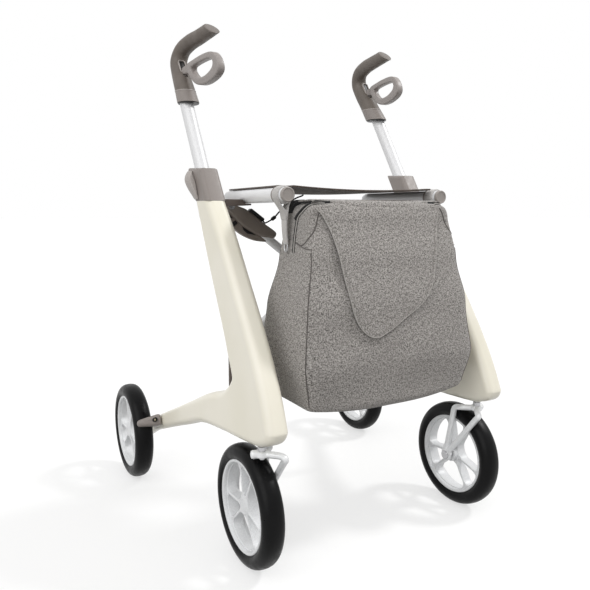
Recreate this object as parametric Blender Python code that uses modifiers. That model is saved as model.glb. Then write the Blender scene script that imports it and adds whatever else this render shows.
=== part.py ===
"""Foldable rollator with carbon-shell side frames, modelled in metres with +Z up.

The front faces -Y, the ground is z = 0 and the origin lies midway between the axles.
Left means the -X side, as seen from the front. Every paired piece is modelled on the
right side and mirrored to the left.
"""
import math

import bmesh
import bpy
from mathutils import Matrix, Vector

OBJECT_NAME = "carbon_rollator"
LEFT = -1
RIGHT = 1

# Clearance between neighbouring pieces
GAP = 0.0003

# Wheels
WHEEL_RADIUS = 0.100
TYRE_WIDTH = 0.038
TYRE_HEIGHT = 0.0244
RIM_WIDTH = 0.030
RIM_WALL = 0.006
HUB_RADIUS = 0.0150
HUB_INNER = 0.018
HUB_OUTER = 0.0105
HUB_CAP_DEPTH = 0.0035
AXLE_RADIUS = 0.0040
AXLE_HEAD_RADIUS = 0.0085
AXLE_SEAT_DEPTH = 0.0012
SPOKE_PAIRS = 3
SPOKE_SPREAD = math.radians(20.0)
SPOKE_PHASE = math.radians(-7.0)
SPOKE_WIDTH = 0.0055
SPOKE_DEPTH = 0.019
WHEELBASE = 0.442
REAR_TRACK = 0.594

# Casters
CASTER_SPACING = 0.4534
CASTER_TRAIL = 0.0486
FOOT_CLEARANCE = 0.0175
FORK_TOP_CLEARANCE = 0.0045
FORK_THICKNESS = 0.007
FORK_TYRE_GAP = 0.0025
FORK_LENGTH = 0.060
FORK_BAR = 0.009
STEM_RADIUS = 0.0068
STEM_NECK_RADIUS = 0.0050
STEM_INSERT = 0.042

# Side frame
FRAME_THICKNESS = 0.036
ARM_END_THICKNESS = 0.024
ARM_END_RADIUS = 0.018
ARM_WHEEL_GAP = 0.004
FRAME_EDGE = 0.010
COLLAR_SPACING = 0.4468
COLLAR_SEAT_Y = -0.0683
COLLAR_SEAT_Z = 0.590
COLLAR_CHORD = 0.0565
COLLAR_TOP_CHORD = 0.0575
COLLAR_HEIGHT = 0.0577
COLLAR_EDGE = 0.009
CLAMP_LEVER_WIDTH = 0.026

# Handle tube
TUBE_RADIUS = 0.0125
TUBE_WALL = 0.0015
TUBE_LEAN = math.radians(32.0)
TUBE_INWARD = math.radians(0.6)
TUBE_OFFSET = 0.002
TUBE_SHOWN = 0.1475
TUBE_INSERT = 0.170
HEIGHT_DOWN = 0.090
BORE_END_ROOM = 0.010

# Handle
HANDLE_INSET = 0.0038
BASE_HEIGHT = 0.0235
TIP_SLANT = math.radians(36.0)
GRIP_RADIUS = 0.0195
LEVER_WIDTH = 0.011
LEVER_EDGE = 0.003
TONGUE_WIDTH = 0.008
TONGUE_START = 0.0195
TONGUE_LENGTH = 0.033
TONGUE_SHIFT = 0.0035
LEVER_SPLAY = 0.133
LEVER_PIN_RADIUS = 0.0020
LEVER_EYE_RADIUS = 0.0060

# Brake
SHOE_WIDTH = 0.045
SHOE_HEIGHT = 0.028
SHOE_DEPTH = 0.026
SHOE_CLEARANCE = 0.0025
SHOE_ANGLE = math.radians(155.0)
TONGUE_DEPTH = 0.006
SHOE_TONGUE_LENGTH = 0.016
SHOE_TONGUE_HEIGHT = 0.008
CABLE_RADIUS = 0.0020
CHANNEL_CLEARANCE = 0.0012

# Seat rails and seat
RAIL_INSET = 0.0654
RAIL_HEIGHT = 0.598
RAIL_RADIUS = 0.0118
RAIL_WALL = 0.0020
RAIL_FRONT = -0.2245
RAIL_REAR = -0.002
CAP_THICKNESS = 0.006
SEAT_THICKNESS = 0.0035
SEAT_SAG = 0.005
CRADLE_Y = -0.079
CRADLE_LENGTH = 0.026
CRADLE_LIP = 0.003

# Scissor brace under the seat
PIVOT_OFFSET = 0.0125
PIVOT_DROP = 0.017
LOWER_PIVOT_HEIGHT = 0.322
FRONT_BRACE_Y = -0.052
REAR_BRACE_Y = -0.028
BRACE_RADIUS = 0.0085
PIVOT_PIN_RADIUS = 0.0040
PIVOT_EYE_RADIUS = 0.0085
BRACE_EYE_LENGTH = 0.018
BRACKET_THICKNESS = 0.008
LEAF_THICKNESS = 0.021
LEAF_EDGE = 0.003
LATCH_LENGTH = 0.036
LATCH_WIDTH = 0.013
LATCH_HEIGHT = 0.008
CORD_RADIUS = 0.0015
CORD_END_X = -0.0132

# Bag
BAG_DROP = 0.010
BAG_CORNER = 0.014
BAG_BOTTOM = 0.259
FLAP_THICKNESS = 0.003
FLAP_HINGE_INSET = 0.010
STRAP_Y = -0.210
STRAP_WIDTH = 0.018
STRAP_THICKNESS = 0.003
STRAP_RING_WALL = 0.0024
STRAP_DROP = 0.066

# Derived places: (y, z) of the frame's three corners
HUB = Vector((WHEELBASE / 2, WHEEL_RADIUS))
PIVOT_Y = -WHEELBASE / 2 - CASTER_TRAIL
FOOT = Vector((PIVOT_Y, 2 * WHEEL_RADIUS + FOOT_CLEARANCE))
SEAT_POINT = Vector((COLLAR_SEAT_Y, COLLAR_SEAT_Z))
PIVOT_X = CASTER_SPACING / 2
REAR_X = REAR_TRACK / 2
ARM_END_X = REAR_X - TYRE_WIDTH / 2 - ARM_WHEEL_GAP - ARM_END_THICKNESS / 2
RIM_RADIUS = WHEEL_RADIUS - TYRE_HEIGHT
RAIL_X = COLLAR_SPACING / 2 - RAIL_INSET
PIN_X = RAIL_X + PIVOT_OFFSET
UPPER_PIVOT_HEIGHT = RAIL_HEIGHT - PIVOT_DROP
BAG_TOP = RAIL_HEIGHT - BAG_DROP

YZ_PLANE = Matrix(((0, 0, 1, 0), (1, 0, 0, 0), (0, 1, 0, 0), (0, 0, 0, 1)))
XZ_PLANE = Matrix(((1, 0, 0, 0), (0, 0, -1, 0), (0, 1, 0, 0), (0, 0, 0, 1)))

MATERIALS = {
    "carbon_shell": ((0.78, 0.74, 0.65), 0.30, 0.0),
    "dark_plastic": ((0.10, 0.085, 0.075), 0.55, 0.0),
    "taupe_plastic": ((0.30, 0.27, 0.25), 0.45, 0.0),
    "silver_tube": ((0.80, 0.80, 0.81), 0.25, 1.0),
    "polished_fork": ((0.72, 0.72, 0.74), 0.20, 1.0),
    "steel": ((0.55, 0.55, 0.56), 0.30, 1.0),
    "white_rim": ((0.68, 0.68, 0.67), 0.35, 0.0),
    "grip_rubber": ((0.115, 0.10, 0.085), 0.60, 0.0),
    "tyre_rubber": ((0.02, 0.02, 0.02), 0.70, 0.0),
    "seat_fabric": ((0.08, 0.065, 0.055), 0.90, 0.0),
    "bag_fabric": ((0.25, 0.24, 0.23), 0.95, 0.0),
    "strap_fabric": ((0.40, 0.39, 0.38), 0.90, 0.0),
    "black_plastic": ((0.02, 0.02, 0.02), 0.50, 0.0),
}


def clear_scene():
    """Remove every object that the scene holds."""
    for old in list(bpy.data.objects):
        bpy.data.objects.remove(old, do_unlink=True)


def new_collection(name):
    collection = bpy.data.collections.new(name)
    bpy.context.scene.collection.children.link(collection)
    return collection


def make_material(name):
    colour, roughness, metallic = MATERIALS[name]
    found = bpy.data.materials.new(name)
    found.use_nodes = True
    shader = found.node_tree.nodes["Principled BSDF"]
    shader.inputs["Base Color"].default_value = (*colour, 1.0)
    shader.inputs["Roughness"].default_value = roughness
    shader.inputs["Metallic"].default_value = metallic
    return found


clear_scene()
PARTS = new_collection(OBJECT_NAME)
CUTTERS = new_collection("cutters")
SHADERS = {name: make_material(name) for name in MATERIALS}


def tool_object(name, data):
    """A hidden helper object, such as a cutter."""
    helper = bpy.data.objects.new(name, data)
    helper.hide_render = True
    helper.display_type = "WIRE"
    CUTTERS.objects.link(helper)
    return helper


def baked(helper):
    """Mesh of a helper object with its modifiers applied, faces outward; the helper goes."""
    depsgraph = bpy.context.evaluated_depsgraph_get()
    depsgraph.update()
    mesh = bpy.data.meshes.new_from_object(helper.evaluated_get(depsgraph))
    bpy.data.objects.remove(helper, do_unlink=True)
    form = bmesh.new()
    form.from_mesh(mesh)
    bmesh.ops.remove_doubles(form, verts=form.verts, dist=0.00001)
    bmesh.ops.recalc_face_normals(form, faces=form.faces)
    form.to_mesh(mesh)
    form.free()
    return mesh


def from_bmesh(form, name="form"):
    mesh = bpy.data.meshes.new(name)
    bmesh.ops.recalc_face_normals(form, faces=form.faces)
    form.to_mesh(mesh)
    form.free()
    return mesh


def box_mesh(size, centre, bevel=0.0, turn=None):
    """Box with optional rounded edges, turned about its centre by a rotation matrix."""
    form = bmesh.new()
    bmesh.ops.create_cube(form, size=1.0, matrix=Matrix.Diagonal((*size, 1.0)))
    if bevel > 0:
        bmesh.ops.bevel(form, geom=form.edges, offset=bevel, segments=2, profile=0.5, affect="EDGES")
    place = Matrix.Translation(centre)
    if turn is not None:
        place = place @ turn.to_4x4()
    bmesh.ops.transform(form, matrix=place, verts=form.verts)
    return from_bmesh(form)


def aim(direction):
    """Rotation that turns +Z onto a direction."""
    return Vector(direction).to_track_quat("Z", "Y").to_matrix().to_4x4()


def rod_mesh(start, end, radius, sides=20):
    """Solid round bar between two points."""
    start = Vector(start)
    end = Vector(end)
    form = bmesh.new()
    place = Matrix.Translation((start + end) / 2) @ aim(end - start)
    bmesh.ops.create_cone(form, cap_ends=True, segments=sides, radius1=radius, radius2=radius,
                          depth=(end - start).length, matrix=place)
    return from_bmesh(form)


def turned_mesh(profile, start, direction, steps=32):
    """Solid of revolution: profile (radius, height) points, height along direction from start."""
    mesh = bpy.data.meshes.new("profile")
    closed = min(radius for radius, _ in profile) > 0
    count = len(profile)
    edges = [(i, (i + 1) % count) for i in range(count if closed else count - 1)]
    mesh.from_pydata([(radius, 0.0, height) for radius, height in profile], edges, [])
    helper = tool_object("turning", mesh)
    screw = helper.modifiers.new("turn", "SCREW")
    screw.steps = steps
    screw.render_steps = steps
    screw.use_merge_vertices = True
    screw.merge_threshold = 0.00001
    mesh = baked(helper)
    mesh.transform(Matrix.Translation(start) @ aim(direction))
    return mesh


def smooth_run(points, steps=2):
    """Catmull-Rom points through an open run, both ends kept."""
    points = [Vector(point) for point in points]
    padded = [2 * points[0] - points[1]] + points + [2 * points[-1] - points[-2]]
    run = []
    for i in range(1, len(padded) - 2):
        before, start, end, after = padded[i - 1:i + 3]
        for step in range(steps):
            t = step / steps
            run.append(0.5 * (2 * start + (end - before) * t
                              + (2 * before - 5 * start + 4 * end - after) * t ** 2
                              + (3 * start - before - 3 * end + after) * t ** 3))
    run.append(points[-1])
    return run


def arc(centre, radius, first, last, steps):
    """Points on an arc in a plane, angles in degrees."""
    turns = [math.radians(first + (last - first) * i / steps) for i in range(steps + 1)]
    return [Vector((centre[0] + radius * math.cos(a), centre[1] + radius * math.sin(a))) for a in turns]


def plate_mesh(outlines, thickness, plane, bevel=0.0, bevel_steps=1, offset=0.0):
    """Flat piece from closed outlines; thickness is centred on offset along the plane's normal."""
    curve = bpy.data.curves.new("outline", "CURVE")
    curve.dimensions = "2D"
    curve.fill_mode = "BOTH"
    curve.extrude = thickness / 2 - bevel
    curve.bevel_depth = bevel
    curve.bevel_resolution = bevel_steps
    curve.offset = -bevel
    for outline in outlines:
        spline = curve.splines.new("POLY")
        spline.points.add(len(outline) - 1)
        for point, place in zip(spline.points, outline):
            point.co = (place[0], place[1], 0.0, 1.0)
        spline.use_cyclic_u = True
    mesh = baked(tool_object("plate", curve))
    mesh.transform(plane @ Matrix.Translation((0.0, 0.0, offset)))
    return mesh


def sweep_mesh(points, radii, bevel_steps=3):
    """Round bar through points, with a radius at each point."""
    curve = bpy.data.curves.new("path", "CURVE")
    curve.dimensions = "3D"
    curve.bevel_depth = 1.0
    curve.bevel_resolution = bevel_steps
    curve.use_fill_caps = True
    curve.twist_mode = "MINIMUM"
    spline = curve.splines.new("POLY")
    spline.points.add(len(points) - 1)
    for point, place, radius in zip(spline.points, points, radii):
        point.co = (*place, 1.0)
        point.radius = radius
    return baked(tool_object("sweep", curve))


def combine(mesh, other, operation="DIFFERENCE"):
    """Boolean of two meshes."""
    target = tool_object("target", mesh)
    cutter = tool_object("cutter", other)
    boolean = target.modifiers.new("cut", "BOOLEAN")
    boolean.object = cutter
    boolean.operation = operation
    boolean.solver = "EXACT"
    mesh = baked(target)
    bpy.data.objects.remove(cutter, do_unlink=True)
    return mesh


def join(*meshes):
    """Union of meshes that overlap."""
    whole = meshes[0]
    for mesh in meshes[1:]:
        whole = combine(whole, mesh, "UNION")
    return whole


def trimmed(mesh, point, normal):
    """Cut away what lies beyond a plane, and close the cut."""
    form = bmesh.new()
    form.from_mesh(mesh)
    bmesh.ops.bisect_plane(form, geom=form.verts[:] + form.edges[:] + form.faces[:], dist=0.00001,
                           plane_co=point, plane_no=normal, clear_outer=True)
    bmesh.ops.holes_fill(form, edges=[edge for edge in form.edges if edge.is_boundary], sides=0)
    return from_bmesh(form)


def mirrored(mesh):
    """Left-hand copy of a right-hand mesh."""
    copy = mesh.copy()
    copy.transform(Matrix.Diagonal((-1.0, 1.0, 1.0, 1.0)))
    copy.flip_normals()
    return copy


BODIES = {}


def body(name, place, parent=None):
    """Empty on a joint's axis that carries the pieces moving with it."""
    empty = bpy.data.objects.new(name + "_joint", None)
    empty.empty_display_size = 0.02
    PARTS.objects.link(empty)
    place = Vector(place)
    if parent is not None:
        empty.parent = BODIES[parent][0]
        empty.location = place - BODIES[parent][1]
    else:
        empty.location = place
    BODIES[name] = (empty, place)


def piece(name, mesh, shader, body_name):
    """Named part from a mesh in world coordinates, with its origin at its body's joint."""
    empty, place = BODIES[body_name]
    mesh.name = name
    mesh.transform(Matrix.Translation(-place))
    mesh.materials.clear()
    mesh.materials.append(SHADERS[shader])
    mesh.shade_smooth()
    mesh.set_sharp_from_angle(angle=math.radians(35.0))
    part = bpy.data.objects.new(name, mesh)
    part.parent = empty
    PARTS.objects.link(part)
    return part


def pair(name, mesh, shader, body_name):
    """The same piece on both sides."""
    left_mesh = mirrored(mesh)
    piece("right_" + name, mesh, shader, "right_" + body_name)
    piece("left_" + name, left_mesh, shader, "left_" + body_name)


def plane_through(corners):
    """Function x(y, z) of the plane through three points."""
    first, second, third = (Vector(corner) for corner in corners)
    normal = (second - first).cross(third - first)

    def x_at(y, z):
        return first.x - (normal.y * (y - first.y) + normal.z * (z - first.z)) / normal.x

    return x_at


def side_face(sign):
    """Outer (+1) or inner (-1) face of the right side frame as a function x(y, z)."""
    half = FRAME_THICKNESS / 2
    return plane_through((
        (COLLAR_SPACING / 2 + sign * half, *SEAT_POINT),
        (PIVOT_X + sign * half, *FOOT),
        (ARM_END_X + sign * ARM_END_THICKNESS / 2, *HUB),
    ))


OUTER_FACE = side_face(1)
INNER_FACE = side_face(-1)


def mid_face(y, z):
    return (OUTER_FACE(y, z) + INNER_FACE(y, z)) / 2


def onto_side(mesh, thickness):
    """Spread a flat plate centred on x = 0 between the side frame's two faces."""
    for vertex in mesh.vertices:
        x, y, z = vertex.co
        share = 0.5 + x / thickness
        vertex.co.x = INNER_FACE(y, z) * (1 - share) + OUTER_FACE(y, z) * share
    return mesh


def off_frame(mesh):
    """Trim a right-hand piece so that it ends a gap short of the frame's inner face."""
    point = Vector((INNER_FACE(0, 0) - GAP, 0, 0))
    along_y = Vector((INNER_FACE(1, 0) - INNER_FACE(0, 0), 1, 0))
    along_z = Vector((INNER_FACE(0, 1) - INNER_FACE(0, 0), 0, 1))
    return trimmed(mesh, point, along_y.cross(along_z))


def leg_point(share, off):
    """Point beside the line from the foot to the collar; off is positive towards the front."""
    run = SEAT_POINT - FOOT
    normal = Vector((-run.y, run.x)).normalized()
    return FOOT + run * share + normal * off


def arm_point(share, off):
    """Point beside the line from the foot to the hub; off is positive upwards."""
    run = HUB - FOOT
    normal = Vector((-run.y, run.x)).normalized()
    return FOOT + run * share + normal * off


# Unit direction of the handle tube and the point where it enters the collar
TUBE_DIRECTION = Vector((-math.sin(TUBE_INWARD), math.sin(TUBE_LEAN), math.cos(TUBE_LEAN))).normalized()
TUBE_SEAT = Vector((mid_face(*SEAT_POINT), COLLAR_SEAT_Y + TUBE_OFFSET, COLLAR_SEAT_Z))
COLLAR_ALONG = COLLAR_HEIGHT / math.cos(TUBE_LEAN)


def on_tube(distance):
    """Point on the tube's axis, measured upwards from the collar's top."""
    return TUBE_SEAT + TUBE_DIRECTION * (COLLAR_ALONG + distance)


def side_outline():
    """Outline (y, z) of the leg and arm as one run round the side frame."""
    half = COLLAR_CHORD / 2
    front = [SEAT_POINT + Vector((-half, 0)), leg_point(0.806, 0.038), leg_point(0.60, 0.0495),
             leg_point(0.344, 0.062), leg_point(0.165, 0.065), leg_point(0.03, 0.061),
             FOOT + Vector((-0.0499, 0.0265)), FOOT + Vector((-0.0414, 0.0140)),
             FOOT + Vector((-0.0204, 0.0050)), FOOT,
             arm_point(0.119, 0.0087), arm_point(0.2135, 0.0163), arm_point(0.378, 0.0257),
             arm_point(0.519, 0.0186), arm_point(0.687, 0.0091), arm_point(0.892, -0.0038)]
    top = [arm_point(0.886, 0.0253), arm_point(0.737, 0.0391), arm_point(0.60, 0.0515),
           arm_point(0.453, 0.0655), arm_point(0.34, 0.0766), arm_point(0.258, 0.0816),
           arm_point(0.196, 0.0828), leg_point(0.2554, -0.0452), leg_point(0.268, -0.0299),
           leg_point(0.285, -0.0247), leg_point(0.366, -0.0243), leg_point(0.45, -0.0231),
           leg_point(0.678, -0.0254), leg_point(0.842, -0.0257), SEAT_POINT + Vector((half, 0))]
    return smooth_run(front) + arc(HUB, ARM_END_RADIUS, -105, 78, 8) + smooth_run(top)


def cable_route():
    """Brake cable's points: down the tube's axis, round the foot and along the arm."""
    bore_end = on_tube(-TUBE_INSERT - HEIGHT_DOWN - BORE_END_ROOM)
    start = on_tube(TUBE_SHOWN - HEIGHT_DOWN + 0.01)
    bends = [leg_point(0.33, 0.012), leg_point(0.19, 0.010), arm_point(0.16, 0.047),
             arm_point(0.30, 0.045), arm_point(0.48, 0.038), arm_point(0.65, 0.027)]
    shoe = shoe_centre()
    last = Vector((0, shoe.y - 0.015, shoe.z + 0.006))
    run = [bore_end] + [Vector((mid_face(*bend), *bend)) for bend in bends]
    run.append(Vector((mid_face(last.y, last.z), last.y, last.z)))
    return [start, *smooth_run(run, 2)]


def shoe_centre():
    """Middle of the brake shoe's face towards the tyre, at rest."""
    reach = WHEEL_RADIUS + SHOE_CLEARANCE
    y = HUB.x + reach * math.cos(SHOE_ANGLE)
    z = HUB.y + reach * math.sin(SHOE_ANGLE)
    return Vector((OUTER_FACE(y, z), y, z))


def build_side_frames():
    """Monocoque leg and arm with the tube bore, stem bore, axle bore and cable channel."""
    frame = onto_side(plate_mesh([side_outline()], FRAME_THICKNESS, YZ_PLANE, FRAME_EDGE), FRAME_THICKNESS)
    bore_end = on_tube(-TUBE_INSERT - HEIGHT_DOWN - BORE_END_ROOM)
    frame = combine(frame, rod_mesh(bore_end, on_tube(0.02), TUBE_RADIUS + GAP, 24))
    stem_top = FOOT.y + STEM_INSERT
    frame = combine(frame, rod_mesh((PIVOT_X, PIVOT_Y, FOOT.y - 0.03), (PIVOT_X, PIVOT_Y, stem_top),
                                    STEM_NECK_RADIUS + GAP, 16))
    frame = combine(frame, rod_mesh((ARM_END_X - 0.03, *HUB), (ARM_END_X + 0.03, *HUB),
                                    AXLE_RADIUS + GAP, 16))
    seat = ARM_END_X - ARM_END_THICKNESS / 2 + AXLE_SEAT_DEPTH
    frame = combine(frame, rod_mesh((seat - 0.03, *HUB), (seat, *HUB), AXLE_HEAD_RADIUS + 0.001, 20))
    route = cable_route()
    inside = [bore_end + TUBE_DIRECTION * 0.004] + route[2:]
    channel = CABLE_RADIUS + CHANNEL_CLEARANCE
    frame = combine(frame, sweep_mesh(inside, [channel] * len(inside), 1))
    frame = combine(frame, shoe_pocket(GAP, FRAME_THICKNESS))
    pair("side_frame", frame, "carbon_shell", "frame")
    pair("brake_cable", sweep_mesh(route, [CABLE_RADIUS] * len(route), 1), "black_plastic", "frame")


def shoe_slide():
    """Direction in which the shoe moves onto the tyre."""
    return Vector((0.0, -math.cos(SHOE_ANGLE), -math.sin(SHOE_ANGLE)))


def shoe_pocket(clearance, extra_depth):
    """Box for the shoe's tongue inside the arm; extra_depth carries it out through the face."""
    centre = shoe_centre() - shoe_slide() * SHOE_DEPTH / 2
    turn = Matrix.Rotation(math.pi - SHOE_ANGLE, 3, "X").inverted()
    travel = SHOE_CLEARANCE if extra_depth > 0 else 0.0
    size = (TONGUE_DEPTH * 2 + 2 * clearance + extra_depth,
            SHOE_TONGUE_LENGTH + 2 * (clearance + travel),
            SHOE_TONGUE_HEIGHT + 2 * clearance)
    return box_mesh(size, centre + Vector((extra_depth / 2, 0, 0)), 0.0, turn)


def build_collars():
    """Collar on the leg's top, with the cam lever that clamps the handle tube."""
    rise = COLLAR_HEIGHT
    low = COLLAR_CHORD / 2
    high = COLLAR_TOP_CHORD / 2
    top = SEAT_POINT + Vector((TUBE_OFFSET / 2 + rise * math.tan(TUBE_LEAN) - 0.0005, rise))
    base = SEAT_POINT + Vector((0, GAP))
    outline = [base + Vector((-low, 0)), base + Vector((low, 0)), top + Vector((high, 0.002)),
               top + Vector((-high, -0.001))]
    collar = onto_side(plate_mesh([outline], FRAME_THICKNESS, YZ_PLANE, COLLAR_EDGE, 2), FRAME_THICKNESS)
    collar = trimmed(collar, (0, 0, base.y), (0, 0, -1))
    collar = combine(collar, rod_mesh(on_tube(-0.12), on_tube(0.04), TUBE_RADIUS + GAP, 24))
    pair("collar", collar, "taupe_plastic", "frame")


def clamp_hinge():
    """Hinge point of the right clamp lever, on the collar's outer face near its foot."""
    y = COLLAR_SEAT_Y + 0.031
    z = COLLAR_SEAT_Z + 0.0065
    return Vector((OUTER_FACE(y, z) + 0.0045, y, z))


def build_clamp_levers():
    hinge = clamp_hinge()
    outline = arc((0.0045, 0), 0.0042, 200, 330, 5)
    outline += [Vector((0.0095, 0.015)), Vector((0.0104, 0.0315)),
                Vector((0.0015, 0.0465)), Vector((GAP, 0.046))]
    lever = plate_mesh([outline], CLAMP_LEVER_WIDTH, XZ_PLANE, 0.002, 1)
    for vertex in lever.vertices:
        y = hinge.y + vertex.co.y
        z = hinge.z + vertex.co.z
        vertex.co = (OUTER_FACE(y, z) + vertex.co.x, y, z)
    pair("clamp_lever", lever, "taupe_plastic", "clamp_lever")


def handle_path():
    """Handle's centre line from its foot at the tube to the forward tip, with its radii."""
    start = on_tube(TUBE_SHOWN) - Vector((HANDLE_INSET, 0, 0))
    steps = [(0.0004, -0.010, -0.013), (0, 0, 0), (-0.0008, 0.012, 0.0155), (-0.0015, 0.027, 0.036),
             (-0.0028, 0.048, 0.0625), (-0.0043, 0.0590, 0.0855), (-0.0088, 0.0485, 0.1045),
             (-0.0143, 0.020, 0.1130), (-0.0198, -0.014, 0.1160), (-0.0249, -0.060, 0.1203),
             (-0.0282, -0.090, 0.1241)]
    shares = [1.03, 1.02, 0.985, 0.93, 0.86, 0.83, 0.80, 0.77, 0.72, 0.68, 0.665]
    return [start + Vector(step) for step in steps], [GRIP_RADIUS * share for share in shares]


def lever_pin_place():
    return handle_path()[0][4] + Vector((0.0, -0.0080, -0.0010))


def lever_point(forward, up):
    """Point of the brake lever's side view, measured from its pivot."""
    pin = lever_pin_place()
    return Vector((pin.y - forward, pin.z + up))


def lever_outlines():
    """Outer and inner outline (y, z) of the lever's closed finger loop."""
    outer = [lever_point(*p) for p in (
        (0.000, 0.006), (0.016, 0.0075), (0.030, 0.0095), (0.052, 0.0125), (0.088, 0.0158),
        (0.122, 0.0145), (0.1400, 0.0035), (0.149, -0.0125), (0.147, -0.0235), (0.133, -0.0315),
        (0.108, -0.0365), (0.084, -0.0360), (0.064, -0.0300), (0.048, -0.0180), (0.038, -0.0090),
        (0.018, -0.0060), (0.000, -0.006))]
    inner = [lever_point(*p) for p in (
        (0.0460, 0.0000), (0.052, 0.0050), (0.088, 0.0072), (0.128, 0.0045), (0.1405, -0.0050),
        (0.138, -0.0145), (0.120, -0.0225), (0.098, -0.0265), (0.072, -0.0255), (0.054, -0.0130))]
    closed_outer = smooth_run(outer, 2) + arc(lever_point(0, 0), LEVER_EYE_RADIUS, -60, 60, 4)
    closed_inner = smooth_run([*inner, inner[0]], 2)[:-1]
    return closed_outer, closed_inner


def lever_shift(y):
    """Sideways run of the lever: its tongue bends inward, then it splays towards its tip."""
    pin = lever_pin_place()
    forward = pin.y - y
    bend = min(max((forward - TONGUE_START) / (TONGUE_LENGTH - TONGUE_START), 0.0), 1.0)
    return pin.x - TONGUE_SHIFT * bend - LEVER_SPLAY * max(0.0, forward - TONGUE_LENGTH)


def build_handles():
    """Handle tube, light base, dark grip, finger-loop brake lever and its pin."""
    foot = on_tube(TUBE_SHOWN)
    tube_top = on_tube(TUBE_SHOWN + 0.020)
    tube_low = on_tube(-TUBE_INSERT)
    length = (tube_top - tube_low).length
    inner = TUBE_RADIUS - TUBE_WALL
    profile = [(inner, 0), (TUBE_RADIUS, 0), (TUBE_RADIUS, length), (inner, length)]
    pair("handle_tube", turned_mesh(profile, tube_low, TUBE_DIRECTION, 20), "silver_tube", "handle")
    centres, radii = handle_path()
    up = Vector((0, 0, 1))
    seam = foot + up * BASE_HEIGHT
    path = smooth_run([Vector((*centre, radius)) for centre, radius in zip(centres, radii)], 2)
    whole = sweep_mesh([point[:3] for point in path], [point[3] for point in path], 3)
    whole = trimmed(whole, foot, -up)
    base = trimmed(whole.copy(), seam - up * GAP, up)
    grip = trimmed(whole.copy(), seam, -up)
    grip = trimmed(grip, centres[-2], Vector((0, -math.sin(TIP_SLANT), math.cos(TIP_SLANT))))
    room = rod_mesh(on_tube(TUBE_SHOWN - 0.03), on_tube(TUBE_SHOWN + 0.021), TUBE_RADIUS + GAP, 20)
    base = combine(base, room)
    grip = combine(grip, room.copy())
    pin = lever_pin_place()
    slot = box_mesh((TONGUE_WIDTH + 2 * GAP, 0.040, 0.022), pin + Vector((0, -0.013, 0.0)))
    grip = combine(grip, slot)
    grip_half = radii[4]
    pin_half = math.sqrt(grip_half ** 2 - 0.008 ** 2) - 0.001
    grip = combine(grip, rod_mesh(pin - Vector((0.03, 0, 0)), pin + Vector((0.03, 0, 0)),
                                  LEVER_PIN_RADIUS + GAP, 12))
    pair("handle_base", base, "taupe_plastic", "handle")
    pair("hand_grip", grip, "grip_rubber", "handle")
    pair("lever_pin", rod_mesh(pin - Vector((pin_half, 0, 0)), pin + Vector((pin_half, 0, 0)),
                               LEVER_PIN_RADIUS, 12), "steel", "handle")
    build_levers(pin)


def build_levers(pin):
    loop = plate_mesh(lever_outlines(), LEVER_WIDTH, YZ_PLANE, LEVER_EDGE, 1)
    thin = (LEVER_WIDTH - TONGUE_WIDTH) / 2
    for side in (LEFT, RIGHT):
        middle = Vector((side * (TONGUE_WIDTH / 2 + thin), pin.y, pin.z))
        loop = combine(loop, box_mesh((thin * 2, TONGUE_LENGTH * 2, 0.060), middle))
    form = bmesh.new()
    form.from_mesh(loop)
    for forward in (TONGUE_START, TONGUE_LENGTH):
        bmesh.ops.bisect_plane(form, geom=form.verts[:] + form.edges[:] + form.faces[:], dist=0.00001,
                               plane_co=(0, pin.y - forward, 0), plane_no=(0, 1, 0))
    for vertex in form.verts:
        vertex.co.x += lever_shift(vertex.co.y)
    loop = from_bmesh(form)
    loop = combine(loop, rod_mesh(pin - Vector((0.02, 0, 0)), pin + Vector((0.02, 0, 0)),
                                  LEVER_PIN_RADIUS + GAP, 12))
    pair("brake_lever", loop, "taupe_plastic", "lever")


def rim_mesh():
    """One-piece wheel centre round X: hub, three V-shaped pairs of blade spokes and the rim ring."""
    half = RIM_WIDTH / 2
    ring = [(RIM_RADIUS - GAP, -half), (RIM_RADIUS - GAP, half), (RIM_RADIUS - RIM_WALL, half * 0.9),
            (RIM_RADIUS - RIM_WALL, -half * 0.9)]
    bore = AXLE_RADIUS + GAP
    room = AXLE_HEAD_RADIUS + GAP
    seat = HUB_OUTER - HUB_CAP_DEPTH
    hub = [(bore, -HUB_INNER), (HUB_RADIUS, -HUB_INNER), (HUB_RADIUS, HUB_OUTER), (room, HUB_OUTER),
           (room, seat), (bore, seat)]
    whole = turned_mesh(ring, (0, 0, 0), (1, 0, 0), 32)
    inner_end = HUB_RADIUS * 0.85
    outer_end = RIM_RADIUS - RIM_WALL * 0.6
    for i in range(SPOKE_PAIRS):
        for side in (LEFT, RIGHT):
            angle = SPOKE_PHASE + 2 * math.pi * i / SPOKE_PAIRS + side * SPOKE_SPREAD
            size = (SPOKE_DEPTH, SPOKE_WIDTH, outer_end - inner_end)
            blade = box_mesh(size, Vector((0, 0, (outer_end + inner_end) / 2)))
            blade.transform(Matrix.Rotation(angle, 4, "X"))
            whole = combine(whole, blade, "UNION")
    return combine(whole, turned_mesh(hub, (0, 0, 0), (1, 0, 0), 16), "UNION")


def tyre_mesh():
    """Solid tyre with a rounded tread, axis along X at the origin."""
    half = TYRE_WIDTH / 2
    tread = [(0.0, -0.79), (0.30, -1.0), (0.65, -0.90), (0.92, -0.57), (1.0, 0.0),
             (0.92, 0.57), (0.65, 0.90), (0.30, 1.0), (0.0, 0.79)]
    profile = [(RIM_RADIUS + rise * TYRE_HEIGHT, width * half) for rise, width in tread]
    return turned_mesh(profile, (0, 0, 0), (1, 0, 0), 32)


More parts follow.
